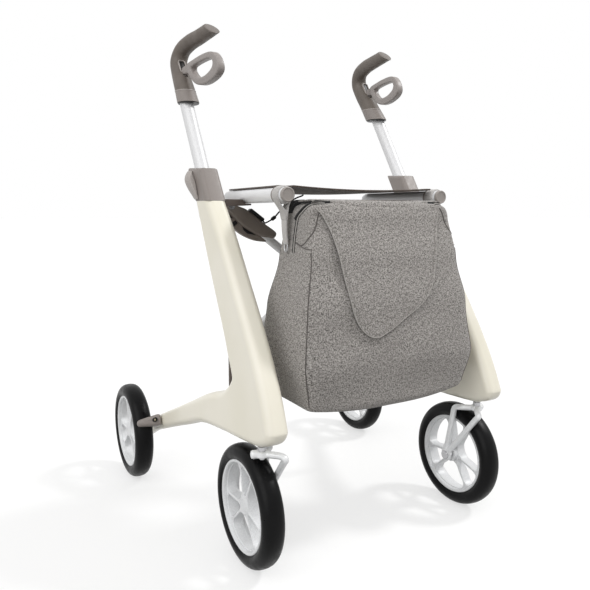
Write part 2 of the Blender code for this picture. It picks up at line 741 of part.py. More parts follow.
def build_wheels():
    """Four equal wheels: two on the casters, two on the arms' ends."""
    rim = rim_mesh()
    tyre = tyre_mesh()
    places = {"caster": Vector((PIVOT_X, -WHEELBASE / 2, WHEEL_RADIUS)), "rear": Vector((REAR_X, *HUB))}
    for name, place in places.items():
        for label, mesh, shader in (("rim", rim, "white_rim"), ("tyre", tyre, "tyre_rubber")):
            copy = mesh.copy()
            copy.transform(Matrix.Translation(place))
            pair(name + "_" + label, copy, shader, name + "_wheel")
    head = 0.0025
    inner = ARM_END_X - ARM_END_THICKNESS / 2 + AXLE_SEAT_DEPTH - GAP - head
    length = REAR_X + HUB_OUTER - HUB_CAP_DEPTH + GAP - inner
    wide = AXLE_HEAD_RADIUS
    axle = [(0, 0), (wide, 0), (wide, head), (AXLE_RADIUS, head), (AXLE_RADIUS, length),
            (wide, length), (wide, length + head), (0, length + head)]
    pair("rear_axle", turned_mesh(axle, (inner, *HUB), (1, 0, 0), 12), "steel", "frame")


def build_casters():
    """Swivel stem, one-sided A-shaped fork on the wheel's inner side, and the wheel's axle."""
    top = FOOT.y - FORK_TOP_CLEARANCE - 0.0085
    plate = 0.0055
    inner = PIVOT_X - TYRE_WIDTH / 2 - FORK_TYRE_GAP - FORK_THICKNESS / 2
    axle = Vector((-WHEELBASE / 2, WHEEL_RADIUS))
    front = Vector((PIVOT_Y - FORK_LENGTH * 0.52, top))
    rear = Vector((PIVOT_Y + FORK_LENGTH * 0.48, top))
    outer = [rear, *arc(front + Vector((0.004, -0.004)), 0.004, 90, 190, 3),
             *arc(axle, 0.0115, 200, 350, 6), rear + Vector((0.002, -0.010))]
    bar = FORK_BAR
    hole = [front + Vector((bar * 1.3, -bar)), rear + Vector((-bar * 0.9, -bar)),
            axle + Vector((0.004, 0.020)), axle + Vector((-0.006, 0.020))]
    fork = plate_mesh([outer, hole], FORK_THICKNESS, YZ_PLANE, 0.002, 1, inner)
    bridge_end = PIVOT_X + 0.011
    middle = Vector(((bridge_end + inner) / 2, PIVOT_Y, top - plate / 2))
    fork = join(fork, box_mesh((bridge_end - inner, 0.024, plate), middle, 0.0015))
    fork = combine(fork, rod_mesh((PIVOT_X, PIVOT_Y, top - 0.02), (PIVOT_X, PIVOT_Y, top + 0.02),
                                  AXLE_RADIUS + GAP, 16))
    fork = combine(fork, rod_mesh((inner - 0.02, *axle), (inner + 0.02, *axle), AXLE_RADIUS + GAP, 16))
    pair("caster_fork", fork, "polished_fork", "caster")
    low = top - plate
    boss_low = top + GAP
    boss_high = FOOT.y - GAP - 0.0012
    stem = [(0, low), (AXLE_RADIUS, low), (AXLE_RADIUS, boss_low), (STEM_RADIUS, boss_low),
            (STEM_RADIUS, boss_high), (STEM_NECK_RADIUS, boss_high),
            (STEM_NECK_RADIUS, FOOT.y + STEM_INSERT - 0.001), (0, FOOT.y + STEM_INSERT - 0.001)]
    pair("caster_stem", turned_mesh(stem, (PIVOT_X, PIVOT_Y, 0), (0, 0, 1), 12), "steel", "caster")
    head = inner - FORK_THICKNESS / 2 - GAP - 0.003
    end = PIVOT_X + HUB_OUTER - HUB_CAP_DEPTH + GAP
    wide = AXLE_HEAD_RADIUS
    pin = [(0, 0), (wide, 0), (wide, 0.003), (AXLE_RADIUS, 0.003), (AXLE_RADIUS, end - head),
           (wide, end - head), (wide, end - head + 0.0025), (0, end - head + 0.0025)]
    pair("caster_axle", turned_mesh(pin, (head, *axle), (1, 0, 0), 12), "steel", "caster")


def build_brake_shoes():
    """Rounded shoe ahead of the rear tyre's tread, sliding on a tongue in the arm."""
    face = shoe_centre()
    slide = shoe_slide()
    turn = Matrix.Rotation(math.pi - SHOE_ANGLE, 3, "X").inverted()
    start = face.x + 0.0005 + GAP
    centre = Vector((start + SHOE_WIDTH / 2, *(face - slide * SHOE_DEPTH / 2)[1:]))
    shoe = box_mesh((SHOE_WIDTH, SHOE_DEPTH + 0.006, SHOE_HEIGHT), centre + slide * 0.003, 0.006, turn)
    tyre_room = rod_mesh((0, *HUB), (1, *HUB), WHEEL_RADIUS + SHOE_CLEARANCE, 64)
    shoe = combine(shoe, tyre_room)
    shoe = join(shoe, shoe_pocket(0.0, 0.0))
    pair("brake_shoe", shoe, "taupe_plastic", "brake_shoe")


def build_seat_rails():
    """Tubes that carry the seat, each with a welded lug for the brace's upper pivot."""
    inner = RAIL_RADIUS - RAIL_WALL
    length = RAIL_REAR - RAIL_FRONT
    profile = [(inner, 0), (RAIL_RADIUS, 0), (RAIL_RADIUS, length), (inner, length)]
    for side, brace_y in ((LEFT, REAR_BRACE_Y), (RIGHT, FRONT_BRACE_Y)):
        label = "left_" if side == LEFT else "right_"
        tube = turned_mesh(profile, (side * RAIL_X, RAIL_FRONT, RAIL_HEIGHT), (0, 1, 0), 24)
        pivot = Vector((side * PIN_X, 0, UPPER_PIVOT_HEIGHT))
        rail = Vector((side * RAIL_X, 0, RAIL_HEIGHT))
        lug_y = brace_y + LEAF_THICKNESS / 2 + GAP + BRACKET_THICKNESS / 2
        lug_at = Vector((0, lug_y, 0))
        toward = (pivot - rail).normalized()
        reach = (pivot - rail).length - inner - GAP
        middle = pivot - toward * reach / 2 + lug_at
        web = box_mesh((BRACKET_THICKNESS - 2 * GAP, 0.010, reach), middle, 0.0, aim(toward).to_3x3())
        across = Vector((0, BRACKET_THICKNESS / 2, 0))
        eye = rod_mesh(pivot + lug_at - across, pivot + lug_at + across, 0.0075, 16)
        lug = join(web, eye)
        lug = combine(lug, rod_mesh(pivot + lug_at - across * 3, pivot + lug_at + across * 3,
                                    PIVOT_PIN_RADIUS + GAP, 16))
        piece(label + "seat_rail", join(tube, lug), "silver_tube", label + "rail")
        plug = inner - GAP
        cap = [(0, 0), (RAIL_RADIUS, 0), (RAIL_RADIUS, CAP_THICKNESS), (plug, CAP_THICKNESS),
               (plug, CAP_THICKNESS + 0.012), (0, CAP_THICKNESS + 0.012)]
        start = (side * RAIL_X, RAIL_FRONT - GAP - CAP_THICKNESS, RAIL_HEIGHT)
        piece(label + "rail_cap", turned_mesh(cap, start, (0, 1, 0), 20), "taupe_plastic", label + "rail")
        head = brace_y - LEAF_THICKNESS / 2 - GAP - 0.0025
        tail = lug_y + BRACKET_THICKNESS / 2
        bolt = [(0, 0), (0.0055, 0), (0.0055, 0.0025), (PIVOT_PIN_RADIUS, 0.0025),
                (PIVOT_PIN_RADIUS, tail - head), (0, tail - head)]
        piece(label + "upper_pivot_bolt", turned_mesh(bolt, pivot + Vector((0, head, 0)), (0, 1, 0), 12),
              "steel", label + "rail")


def build_cradles():
    """Arm on each leg's inner face in which the seat rail rests when unfolded."""
    under = RAIL_HEIGHT - RAIL_RADIUS - GAP
    wall = RAIL_X + RAIL_RADIUS + 0.0008
    far = INNER_FACE(CRADLE_Y, RAIL_HEIGHT) + 0.02
    outline = [(RAIL_X - 0.004, under), (wall, under), (wall, RAIL_HEIGHT + 0.004),
               (wall + 0.004, RAIL_HEIGHT + 0.008), (far, RAIL_HEIGHT + 0.008),
               (far, under - CRADLE_LIP), (RAIL_X - 0.004, under - CRADLE_LIP)]
    cradle = plate_mesh([outline], CRADLE_LENGTH, XZ_PLANE, 0.001, 1, -CRADLE_Y)
    pair("rail_cradle", off_frame(cradle), "taupe_plastic", "frame")


def brace_line(side):
    """Lower and upper pivot of the brace whose upper end is on a side."""
    lower = Vector((-side * PIN_X, 0, LOWER_PIVOT_HEIGHT))
    upper = Vector((side * PIN_X, 0, UPPER_PIVOT_HEIGHT))
    return lower, upper


# Leaf outline from the upper pivot, (towards the middle, up), along its top and back below
LEAF_OUTLINE = ((0.0090, 0.0030), (0.0200, -0.0005), (0.0350, -0.0070), (0.0700, -0.0320),
                (0.0900, -0.0440), (0.0945, -0.0500), (0.0900, -0.0570), (0.0740, -0.0660),
                (0.0560, -0.0655), (0.0310, -0.0540), (0.0080, -0.0300))


def build_braces():
    """Two crossed brace tubes with leaf-shaped ends, and the bolts and brackets they turn on."""
    centre_height = (UPPER_PIVOT_HEIGHT + LOWER_PIVOT_HEIGHT) / 2
    for side, name, brace_y in ((LEFT, "rear", REAR_BRACE_Y), (RIGHT, "front", FRONT_BRACE_Y)):
        lower, upper = brace_line(side)
        along = (upper - lower).normalized()
        depth = Vector((0, brace_y, 0))
        across = Vector((0, BRACE_EYE_LENGTH / 2, 0))
        tube_end = upper - along * 0.060
        tube = rod_mesh(lower + depth, tube_end + depth, BRACE_RADIUS, 16)
        eye = rod_mesh(lower + depth - across, lower + depth + across, PIVOT_EYE_RADIUS + 0.0015, 20)
        tube = join(tube, eye)
        for height in (lower.z, centre_height):
            spot = lower.lerp(upper, (height - lower.z) / (upper.z - lower.z)) + depth
            tube = combine(tube, rod_mesh(spot - across * 3, spot + across * 3, PIVOT_PIN_RADIUS + GAP, 16))
        piece(name + "_brace_tube", tube, "silver_tube", name + "_brace")
        outline = smooth_run([(upper.x - side * x, upper.z + z) for x, z in LEAF_OUTLINE], 2)
        first = Vector((upper.x, upper.z))
        if side == LEFT:
            outline += arc(first, PIVOT_EYE_RADIUS, 215, 110, 4)
        else:
            outline += arc(first, PIVOT_EYE_RADIUS, -35, 70, 4)
        leaf = plate_mesh([outline], LEAF_THICKNESS, XZ_PLANE, LEAF_EDGE, 1, -brace_y)
        socket = rod_mesh(upper - along * 0.13 + depth, tube_end + along * GAP + depth,
                          BRACE_RADIUS + GAP, 16)
        leaf = combine(leaf, socket)
        leaf = combine(leaf, rod_mesh(upper + depth - across * 3, upper + depth + across * 3,
                                      PIVOT_PIN_RADIUS + GAP, 16))
        piece(name + "_brace_end", leaf, "dark_plastic", name + "_brace")
        build_lower_pivot(side, brace_y, lower)
    start = FRONT_BRACE_Y - BRACE_RADIUS - GAP - 0.003
    end = REAR_BRACE_Y + BRACE_RADIUS + GAP
    washer_low = FRONT_BRACE_Y + BRACE_RADIUS + GAP - start
    washer_high = REAR_BRACE_Y - BRACE_RADIUS - GAP - start
    length = end - start
    bolt = [(0, 0), (0.007, 0), (0.007, 0.003), (PIVOT_PIN_RADIUS, 0.003), (PIVOT_PIN_RADIUS, washer_low),
            (0.007, washer_low), (0.007, washer_high), (PIVOT_PIN_RADIUS, washer_high),
            (PIVOT_PIN_RADIUS, length), (0.007, length), (0.007, length + 0.003), (0, length + 0.003)]
    bolt_mesh = turned_mesh(bolt, (0, start, centre_height), (0, 1, 0), 12)
    piece("brace_centre_bolt", bolt_mesh, "steel", "front_brace")


def build_lower_pivot(side, brace_y, lower):
    """Bracket on the arm's inner face, with the pin of the brace's lower end."""
    label = "right_" if side == LEFT else "left_"
    x = abs(lower.x)
    z = lower.z
    foot_low = arm_point(0.47, 0.030).y
    foot_high = foot_low + 0.022
    outline = [(x - 0.0095, foot_low + 0.012), *arc((x, z), 0.0095, 180, 0, 8),
               (x + 0.0095, foot_high + 0.010), (x + 0.020, foot_high), (x + 0.07, foot_high),
               (x + 0.07, foot_low), (x + 0.003, foot_low)]
    web_y = brace_y + BRACE_EYE_LENGTH / 2 + GAP + BRACKET_THICKNESS / 2
    bracket = plate_mesh([outline[::-1]], BRACKET_THICKNESS, XZ_PLANE, 0.0015, 1, -web_y)
    bracket = combine(bracket, rod_mesh((x, web_y - 0.02, z), (x, web_y + 0.02, z),
                                        PIVOT_PIN_RADIUS + GAP, 16))
    bracket = off_frame(bracket)
    head = brace_y - BRACE_EYE_LENGTH / 2 - GAP - 0.0025
    length = web_y + BRACKET_THICKNESS / 2 - head
    pin = [(0, 0), (0.0065, 0), (0.0065, 0.0025), (PIVOT_PIN_RADIUS, 0.0025),
           (PIVOT_PIN_RADIUS, length), (0, length)]
    pin_mesh = turned_mesh(pin, (x, head, z), (0, 1, 0), 12)
    if label == "left_":
        bracket = mirrored(bracket)
        pin_mesh = mirrored(pin_mesh)
    piece(label + "lower_bracket", bracket, "dark_plastic", label + "frame")
    piece(label + "lower_pivot_pin", pin_mesh, "steel", label + "frame")


def latch_frame():
    """Middle of the latch's seat on the leaf's upper edge, the edge's direction and its normal."""
    upper = brace_line(LEFT)[1]
    before, start, end, after = (Vector((upper.x + x, upper.z + z)) for x, z in LEAF_OUTLINE[1:5])
    middle = (9 * (start + end) - before - after) / 16
    along = (end - start).normalized()
    normal = Vector((-along.y, along.x))
    if normal.y < 0:
        normal = -normal
    return middle, along, normal


def latch_point(forward, up):
    """Point of the latch in space, measured along the leaf's edge and away from it."""
    middle, along, normal = latch_frame()
    spot = middle + along * forward + normal * up
    return Vector((spot.x, REAR_BRACE_Y, spot.y))


def build_latch():
    """Fold latch on the rear brace's bracket, and the cord that pulls it from the seat."""
    along = latch_frame()[1]
    turn = Matrix.Rotation(-math.atan2(along.y, along.x), 3, "Y")
    centre = latch_point(0, GAP + LATCH_HEIGHT / 2)
    latch = box_mesh((LATCH_LENGTH, LATCH_WIDTH, LATCH_HEIGHT), centre, 0.002, turn)
    piece("fold_latch", latch, "black_plastic", "fold_latch")
    end_x = CORD_END_X
    under = RAIL_HEIGHT + RAIL_RADIUS + GAP - seat_dip(end_x)
    reach = LATCH_LENGTH / 2 + GAP
    middle = GAP + LATCH_HEIGHT / 2
    end = Vector((end_x, REAR_BRACE_Y, under - GAP))
    start = latch_point(reach, middle)
    route = [start, latch_point(reach + 0.006, middle), start + Vector((0.024, 0, 0.002)),
             start.lerp(end, 0.5) + Vector((0.006, 0, -0.004)), end - Vector((0.007, 0, 0.009)),
             end - Vector((0, 0, 0.003)), end]
    route = smooth_run(route, 4)
    piece("release_cord", sweep_mesh(route, [CORD_RADIUS] * len(route), 1), "black_plastic", "rear_brace")


def seat_dip(x):
    """How far the seat sags at a distance from its middle."""
    return SEAT_SAG * max(0.0, 1 - (x / (RAIL_X - RAIL_RADIUS)) ** 2)


def build_seat():
    """Sheet seat across the rails, sagging a little between them."""
    top = RAIL_HEIGHT + RAIL_RADIUS + GAP
    reach = RAIL_X + 0.004
    count = 8
    upper = []
    lower = []
    for i in range(count + 1):
        x = reach * (2 * i / count - 1)
        dip = seat_dip(x)
        lower.append((x, top - dip))
        upper.append((x, top - dip + SEAT_THICKNESS))
    length = RAIL_REAR - RAIL_FRONT - 0.010
    centre = (RAIL_REAR + RAIL_FRONT) / 2
    sheet = plate_mesh([lower + upper[::-1]], length, XZ_PLANE, 0.0, 1, -centre)
    ring = RAIL_RADIUS + 2 * GAP + STRAP_RING_WALL
    notch_rear = STRAP_Y + STRAP_WIDTH / 2 + GAP
    for side in (LEFT, RIGHT):
        corner = Vector((side * (RAIL_X - ring + 0.04), notch_rear - 0.03, top))
        sheet = combine(sheet, box_mesh((0.08, 0.06, 0.06), corner))
    piece("seat_sheet", sheet, "seat_fabric", "left_rail")


# Bag sections from bottom to top: share of the height, half width, front y, rear y
BAG_RINGS = ((0.000, 0.153, -0.291, -0.180), (0.040, 0.162, -0.299, -0.166),
             (0.220, 0.173, -0.306, -0.152), (0.490, 0.164, -0.298, -0.160),
             (0.710, 0.150, -0.285, -0.174), (0.920, 0.138, -0.268, -0.188),
             (1.000, 0.134, -0.260, -0.194))

# Flap outline: distance from the bag's middle, and down from its top
FLAP_EDGE = ((-0.131, 0.001), (-0.122, 0.022), (-0.109, 0.050), (-0.1005, 0.092), (-0.092, 0.137),
             (-0.081, 0.181), (-0.063, 0.207), (-0.042, 0.216), (-0.020, 0.210), (0.0186, 0.189),
             (0.056, 0.167), (0.0745, 0.147), (0.089, 0.118), (0.102, 0.066), (0.112, 0.026),
             (0.122, 0.001))


def bag_section(height):
    """Half width, front y and rear y of the bag at a height above the ground."""
    share = (height - BAG_BOTTOM) / (BAG_TOP - BAG_BOTTOM)
    for low, high in zip(BAG_RINGS, BAG_RINGS[1:]):
        if share <= high[0]:
            t = max(0.0, (share - low[0]) / (high[0] - low[0]))
            return [start * (1 - t) + end * t for start, end in zip(low[1:], high[1:])]
    return BAG_RINGS[-1][1:]


def bag_front(height):
    return bag_section(height)[1]


def build_bag():
    """Bag under the seat: body, front flap and the straps that hang it from the rails."""
    form = bmesh.new()
    loops = []
    for share, half, front, rear in BAG_RINGS:
        z = BAG_BOTTOM + share * (BAG_TOP - BAG_BOTTOM)
        corner = BAG_CORNER
        loop = []
        corners = ((half - corner, rear - corner, 0), (-half + corner, rear - corner, 90),
                   (-half + corner, front + corner, 180), (half - corner, front + corner, 270))
        for x, y, turn in corners:
            for point in arc((x, y), corner, turn, turn + 90, 3):
                loop.append(form.verts.new((*point, z)))
        loops.append(loop)
    count = len(loops[0])
    for low, high in zip(loops, loops[1:]):
        for i in range(count):
            form.faces.new((low[i], low[(i + 1) % count], high[(i + 1) % count], high[i]))
    form.faces.new(loops[0][::-1])
    form.faces.new(loops[-1])
    piece("bag_body", from_bmesh(form), "bag_fabric", "left_rail")
    flap_edge = [(x, BAG_TOP - down) for x, down in FLAP_EDGE]
    flap = plate_mesh([flap_edge], FLAP_THICKNESS, XZ_PLANE)
    form = bmesh.new()
    form.from_mesh(flap)
    for share in (0.920, 0.710, 0.490):
        cut = BAG_BOTTOM + share * (BAG_TOP - BAG_BOTTOM)
        bmesh.ops.bisect_plane(form, geom=form.verts[:] + form.edges[:] + form.faces[:], dist=0.00001,
                               plane_co=(0, 0, cut), plane_no=(0, 0, 1))
    for vertex in form.verts:
        vertex.co.y += bag_front(vertex.co.z) - FLAP_THICKNESS / 2 - 0.0006
    piece("bag_flap", from_bmesh(form), "bag_fabric", "bag_flap")
    ring_inner = RAIL_RADIUS + GAP
    ring_outer = ring_inner + STRAP_RING_WALL
    ring = [(ring_inner, 0), (ring_outer, 0), (ring_outer, STRAP_WIDTH), (ring_inner, STRAP_WIDTH)]
    ring_mesh = turned_mesh(ring, (RAIL_X, STRAP_Y - STRAP_WIDTH / 2, RAIL_HEIGHT), (0, 1, 0), 24)
    drop_top = RAIL_HEIGHT - ring_inner - 0.0010
    strap = box_mesh((STRAP_THICKNESS, STRAP_WIDTH - 2 * GAP, STRAP_DROP),
                     Vector((RAIL_X, STRAP_Y, drop_top - STRAP_DROP / 2)))
    end_x = bag_section(drop_top - STRAP_DROP)[0] + 2 * GAP + STRAP_THICKNESS / 2
    for vertex in strap.vertices:
        low = max(0.0, (drop_top - vertex.co.z) / STRAP_DROP)
        vertex.co.y = STRAP_Y + (vertex.co.y - STRAP_Y) * (1 - 0.5 * low)
        vertex.co.x += (end_x - RAIL_X) * low
    pair("bag_strap", join(ring_mesh, strap), "strap_fabric", "rail")


def build_bodies():
    """The tree of moving bodies, each on its joint's axis."""
    body("left_frame", (0, 0, 0))
    centre_height = (UPPER_PIVOT_HEIGHT + LOWER_PIVOT_HEIGHT) / 2
    body("front_brace", (-PIN_X, FRONT_BRACE_Y, LOWER_PIVOT_HEIGHT), "left_frame")
    body("rear_brace", (0, REAR_BRACE_Y, centre_height), "front_brace")
    body("right_frame", (PIN_X, REAR_BRACE_Y, LOWER_PIVOT_HEIGHT), "rear_brace")
    body("left_rail", (-PIN_X, REAR_BRACE_Y, UPPER_PIVOT_HEIGHT), "rear_brace")
    body("right_rail", (PIN_X, FRONT_BRACE_Y, UPPER_PIVOT_HEIGHT), "front_brace")
    body("fold_latch", latch_point(-LATCH_LENGTH / 2 + 0.002, GAP + LATCH_HEIGHT / 2), "rear_brace")
    flap_hinge = (0, bag_front(BAG_TOP) + FLAP_HINGE_INSET, BAG_TOP - FLAP_HINGE_INSET)
    body("bag_flap", flap_hinge, "left_rail")
    for side, label in ((LEFT, "left_"), (RIGHT, "right_")):
        flip = Vector((side, 1, 1))
        body(label + "handle", on_tube(0) * flip, label + "frame")
        body(label + "lever", lever_pin_place() * flip, label + "handle")
        body(label + "clamp_lever", clamp_hinge() * flip, label + "frame")
        body(label + "caster", (side * PIVOT_X, PIVOT_Y, FOOT.y), label + "frame")
        body(label + "caster_wheel", (side * PIVOT_X, -WHEELBASE / 2, WHEEL_RADIUS), label + "caster")
        body(label + "rear_wheel", (side * REAR_X, *HUB), label + "frame")
        body(label + "brake_shoe", shoe_centre() * flip, label + "frame")


build_bodies()
build_side_frames()
build_collars()
build_clamp_levers()
build_handles()
build_wheels()
build_casters()
build_brake_shoes()
build_seat_rails()
build_cradles()
build_braces()
build_latch()
build_seat()
build_bag()
bpy.context.view_layer.update()
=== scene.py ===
"""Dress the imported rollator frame: shells, handles, wheels, seat, bag and studio.

Metres with +Z up, as in the part's source: the front faces -Y, the ground is z = 0 and the
origin lies midway between the axles. Left is the -X side, as seen from the front.
"""

import logging
import math
from dataclasses import dataclass
from enum import Enum
from itertools import accumulate
from typing import Callable, ClassVar, Iterable, Sequence

import bmesh
import bpy
from mathutils import Matrix, Vector
from mathutils.bvhtree import BVHTree

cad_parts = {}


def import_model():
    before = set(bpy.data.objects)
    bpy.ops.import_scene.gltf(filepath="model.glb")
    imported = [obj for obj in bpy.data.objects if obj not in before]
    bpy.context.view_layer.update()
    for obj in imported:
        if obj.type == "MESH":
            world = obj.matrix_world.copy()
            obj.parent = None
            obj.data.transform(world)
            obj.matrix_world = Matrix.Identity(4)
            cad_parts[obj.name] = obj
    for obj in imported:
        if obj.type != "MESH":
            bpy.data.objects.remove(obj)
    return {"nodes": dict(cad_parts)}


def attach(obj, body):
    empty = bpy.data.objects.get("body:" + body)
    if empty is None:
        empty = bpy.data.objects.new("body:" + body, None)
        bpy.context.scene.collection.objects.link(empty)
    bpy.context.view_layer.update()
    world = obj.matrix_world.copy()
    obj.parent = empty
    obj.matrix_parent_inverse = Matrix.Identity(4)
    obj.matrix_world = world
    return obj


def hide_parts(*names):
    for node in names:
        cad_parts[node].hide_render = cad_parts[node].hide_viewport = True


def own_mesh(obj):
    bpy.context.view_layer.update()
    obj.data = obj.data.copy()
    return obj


LOG = logging.getLogger("rollator")
Colour = tuple[float, float, float]
Flat = tuple[float, float]
Spot = Sequence[float]
Form = bmesh.types.BMesh
Mesh = bpy.types.Mesh
Socket = bpy.types.NodeSocket
# Clearance of fitted pieces, distance within which points are one, and width of a soft copy's edges.
GAP = 0.0003
WELD = 0.00001
SOFT = 0.0006
WHITE = (1, 1, 1, 1)


def tone(red: int, green: int, blue: int) -> Colour:
    """Linear colour of a display colour.

    Args:
        red, green, blue: display values from 0 to 255.

    Returns:
        The same colour as linear numbers.
    """
    def linear(value: int) -> float:
        """One channel."""
        share = value / 255
        return share / 12.92 if share <= 0.04045 else ((share + 0.055) / 1.055) ** 2.4
    return linear(red), linear(green), linear(blue)


class Side(Enum):
    """The two sides of the rollator."""

    LEFT = -1
    RIGHT = 1

    @property
    def label(self) -> str:
        """Prefix of this side's names."""
        return self.name.lower() + "_"


class Coords(Enum):
    """Where a pattern takes its coordinates from."""

    OBJECT = "Object"
    UV = "UV"


class Board:
    """Node board of a material or the world, with the wiring that the finishes share."""

    def __init__(self, owner: bpy.types.ID, shader: str = "Principled BSDF") -> None:
        """Start the nodes of a material or a world.

        Args:
            owner: the material or the world.
            shader: name of the shader that it starts with.
        """
        owner.use_nodes = True
        self.owner = owner
        self.tree = owner.node_tree
        self.shader = self.tree.nodes[shader]

    def node(self, kind: str, **settings: object) -> bpy.types.Node:
        """Add a node.

        Args:
            kind: Blender's node type.
            settings: attributes of the node.

        Returns:
            The new node.
        """
        made = self.tree.nodes.new(kind)
        for key, value in settings.items():
            setattr(made, key, value)
        return made

    def feed(self, target: Socket, value: object) -> None:
        """Link a socket or set its plain value."""
        if isinstance(value, Socket):
            self.tree.links.new(value, target)
        else:
            target.default_value = value

    def wire(self, **values: object) -> None:
        """Feed the shader's own sockets, by names with underscores."""
        for key, value in values.items():
            self.feed(self.shader.inputs[key.replace("_", " ")], value)

    def place(self, source: Coords, scale: Spot = (1, 1, 1), shift: Spot = (0, 0, 0)) -> Socket:
        """Coordinates for a pattern.

        Args:
            source: object or UV coordinates.
            scale: stretch along each axis.
            shift: move before the pattern.

        Returns:
            The vector socket.
        """
        mapping = self.node("ShaderNodeMapping")
        mapping.inputs["Scale"].default_value = scale
        mapping.inputs["Location"].default_value = shift
        self.feed(mapping.inputs["Vector"], self.node("ShaderNodeTexCoord").outputs[source.value])
        return mapping.outputs["Vector"]

    def noise(self, vector: Socket, scale: float, detail: float, rough: float = 0.55) -> Socket:
        """Noise pattern.

        Args:
            vector: coordinates.
            scale: features per metre.
            detail: octaves.
            rough: weight of the finer octaves.

        Returns:
            Its grey value.
        """
        made = self.node("ShaderNodeTexNoise")
        self.feed(made.inputs["Vector"], vector)
        made.inputs["Scale"].default_value = scale
        made.inputs["Detail"].default_value = detail
        made.inputs["Roughness"].default_value = rough
        return made.outputs["Fac"]

    def math(self, operation: str, first: object, second: object = 0.5) -> Socket:
        """Arithmetic on values.

        Args:
            operation: Blender's name of it.
            first, second: sockets or numbers.

        Returns:
            The result.
        """
        made = self.node("ShaderNodeMath", operation=operation)
        for target, value in zip(made.inputs, (first, second)):
            self.feed(target, value)
        return made.outputs[0]

    def spread(self, value: Socket, low: float, high: float, to_low: float = 0.0,
               to_high: float = 1.0) -> Socket:
        """Map a value's range onto another one.

        Args:
            value: input.
            low, high: its range.
            to_low, to_high: range of the result.

        Returns:
            The mapped value, held within the new range.
        """
        made = self.node("ShaderNodeMapRange")
        for key, number in zip(("From Min", "From Max", "To Min", "To Max"), (low, high, to_low, to_high)):
            made.inputs[key].default_value = number
        self.feed(made.inputs["Value"], value)
        return made.outputs["Result"]

    def mix(self, share: object, first: object, second: object, mode: str = "MIX") -> Socket:
        """Mix two colours.

        Args:
            share: weight of the second.
            first, second: colours or sockets.
            mode: Blender's blend mode.

        Returns:
            The mixed colour.
        """
        made = self.node("ShaderNodeMix", data_type="RGBA", blend_type=mode)
        for index, value in ((0, share), (6, first), (7, second)):
            if isinstance(value, tuple):
                value = (*value, 1.0)
            self.feed(made.inputs[index], value)
        return made.outputs[2]

    def waves(self, vector: Socket, pitch: float, axis: int) -> Socket:
        """Sine waves along one axis.

        Args:
            vector: coordinates in metres.
            pitch: length of a wave.
            axis: 0, 1 or 2.

        Returns:
            A value from -1 to 1.
        """
        parts = self.node("ShaderNodeSeparateXYZ")
        self.feed(parts.inputs[0], vector)
        turns = self.math("MULTIPLY", parts.outputs[axis], 2 * math.pi / pitch)
        return self.math("SINE", turns)

    def bump(self, height: Socket, strength: float, depth: float) -> None:
        """Give the shader a bump, on top of the one it has.

        Args:
            height: pattern from 0 to 1.
            strength: share of the effect.
            depth: metres from low to high.
        """
        made = self.node("ShaderNodeBump")
        made.inputs["Strength"].default_value = strength
        made.inputs["Distance"].default_value = depth
        self.feed(made.inputs["Height"], height)
        normal = self.shader.inputs["Normal"]
        if normal.is_linked:
            self.feed(made.inputs["Normal"], normal.links[0].from_socket)
        self.feed(normal, made.outputs["Normal"])

    def seen(self) -> Socket:
        """One for the rays of the camera, of mirrors and of glass, else nought."""
        path = self.node("ShaderNodeLightPath").outputs
        return self.math("MAXIMUM", path["Is Camera Ray"],
                         self.math("MAXIMUM", path["Is Glossy Ray"], path["Is Transmission Ray"]))

    def switch(self, share: Socket, first: Socket, second: Socket) -> None:
        """End the board in a mix of two shaders."""
        chosen = self.node("ShaderNodeMixShader")
        for target, value in zip(chosen.inputs, (share, first, second)):
            self.feed(target, value)
        last = next(node for node in self.tree.nodes if node.bl_idname.startswith("ShaderNodeOutput"))
        self.feed(last.inputs["Surface"], chosen.outputs[0])


@dataclass(frozen=True)
class Finish:
    """A named surface finish; each kind dresses its own board."""

    title: str
    colour: Colour
    made: ClassVar[dict[str, bpy.types.Material]] = {}

    def dress(self, board: Board) -> None:
        """Wire the finish onto a board."""
        raise NotImplementedError

    def material(self) -> bpy.types.Material:
        """The finish's material, made once."""
        if self.title not in Finish.made:
            board = Board(bpy.data.materials.new(self.title))
            self.dress(board)
            Finish.made[self.title] = board.owner
        return Finish.made[self.title]


@dataclass(frozen=True)
class Lacquer(Finish):
    """Satin lacquer on a moulded carbon shell."""

    shade: Colour = (0.6, 0.58, 0.5)
    roughness: float = 0.34

    def dress(self, board: Board) -> None:
        """Cloudy tone, faint orange peel and a clear coat."""
        vector = board.place(Coords.OBJECT)
        cloud = board.spread(board.noise(vector, 7.0, 2.0), 0.35, 0.65)
        base = board.mix(cloud, self.colour, self.shade)
        speck = board.spread(board.noise(vector, 900.0, 2.0), 0.62, 0.72, 0.0, 0.05)
        rough = board.spread(board.noise(vector, 30.0, 4.0), 0.3, 0.7, self.roughness - 0.05,
                             self.roughness + 0.07)
        board.wire(Base_Color=board.mix(speck, base, self.shade, "MULTIPLY"), Roughness=rough,
                   Coat_Weight=0.25, Coat_Roughness=0.18)
        board.bump(board.noise(vector, 420.0, 2.0), 0.12, 0.0002)


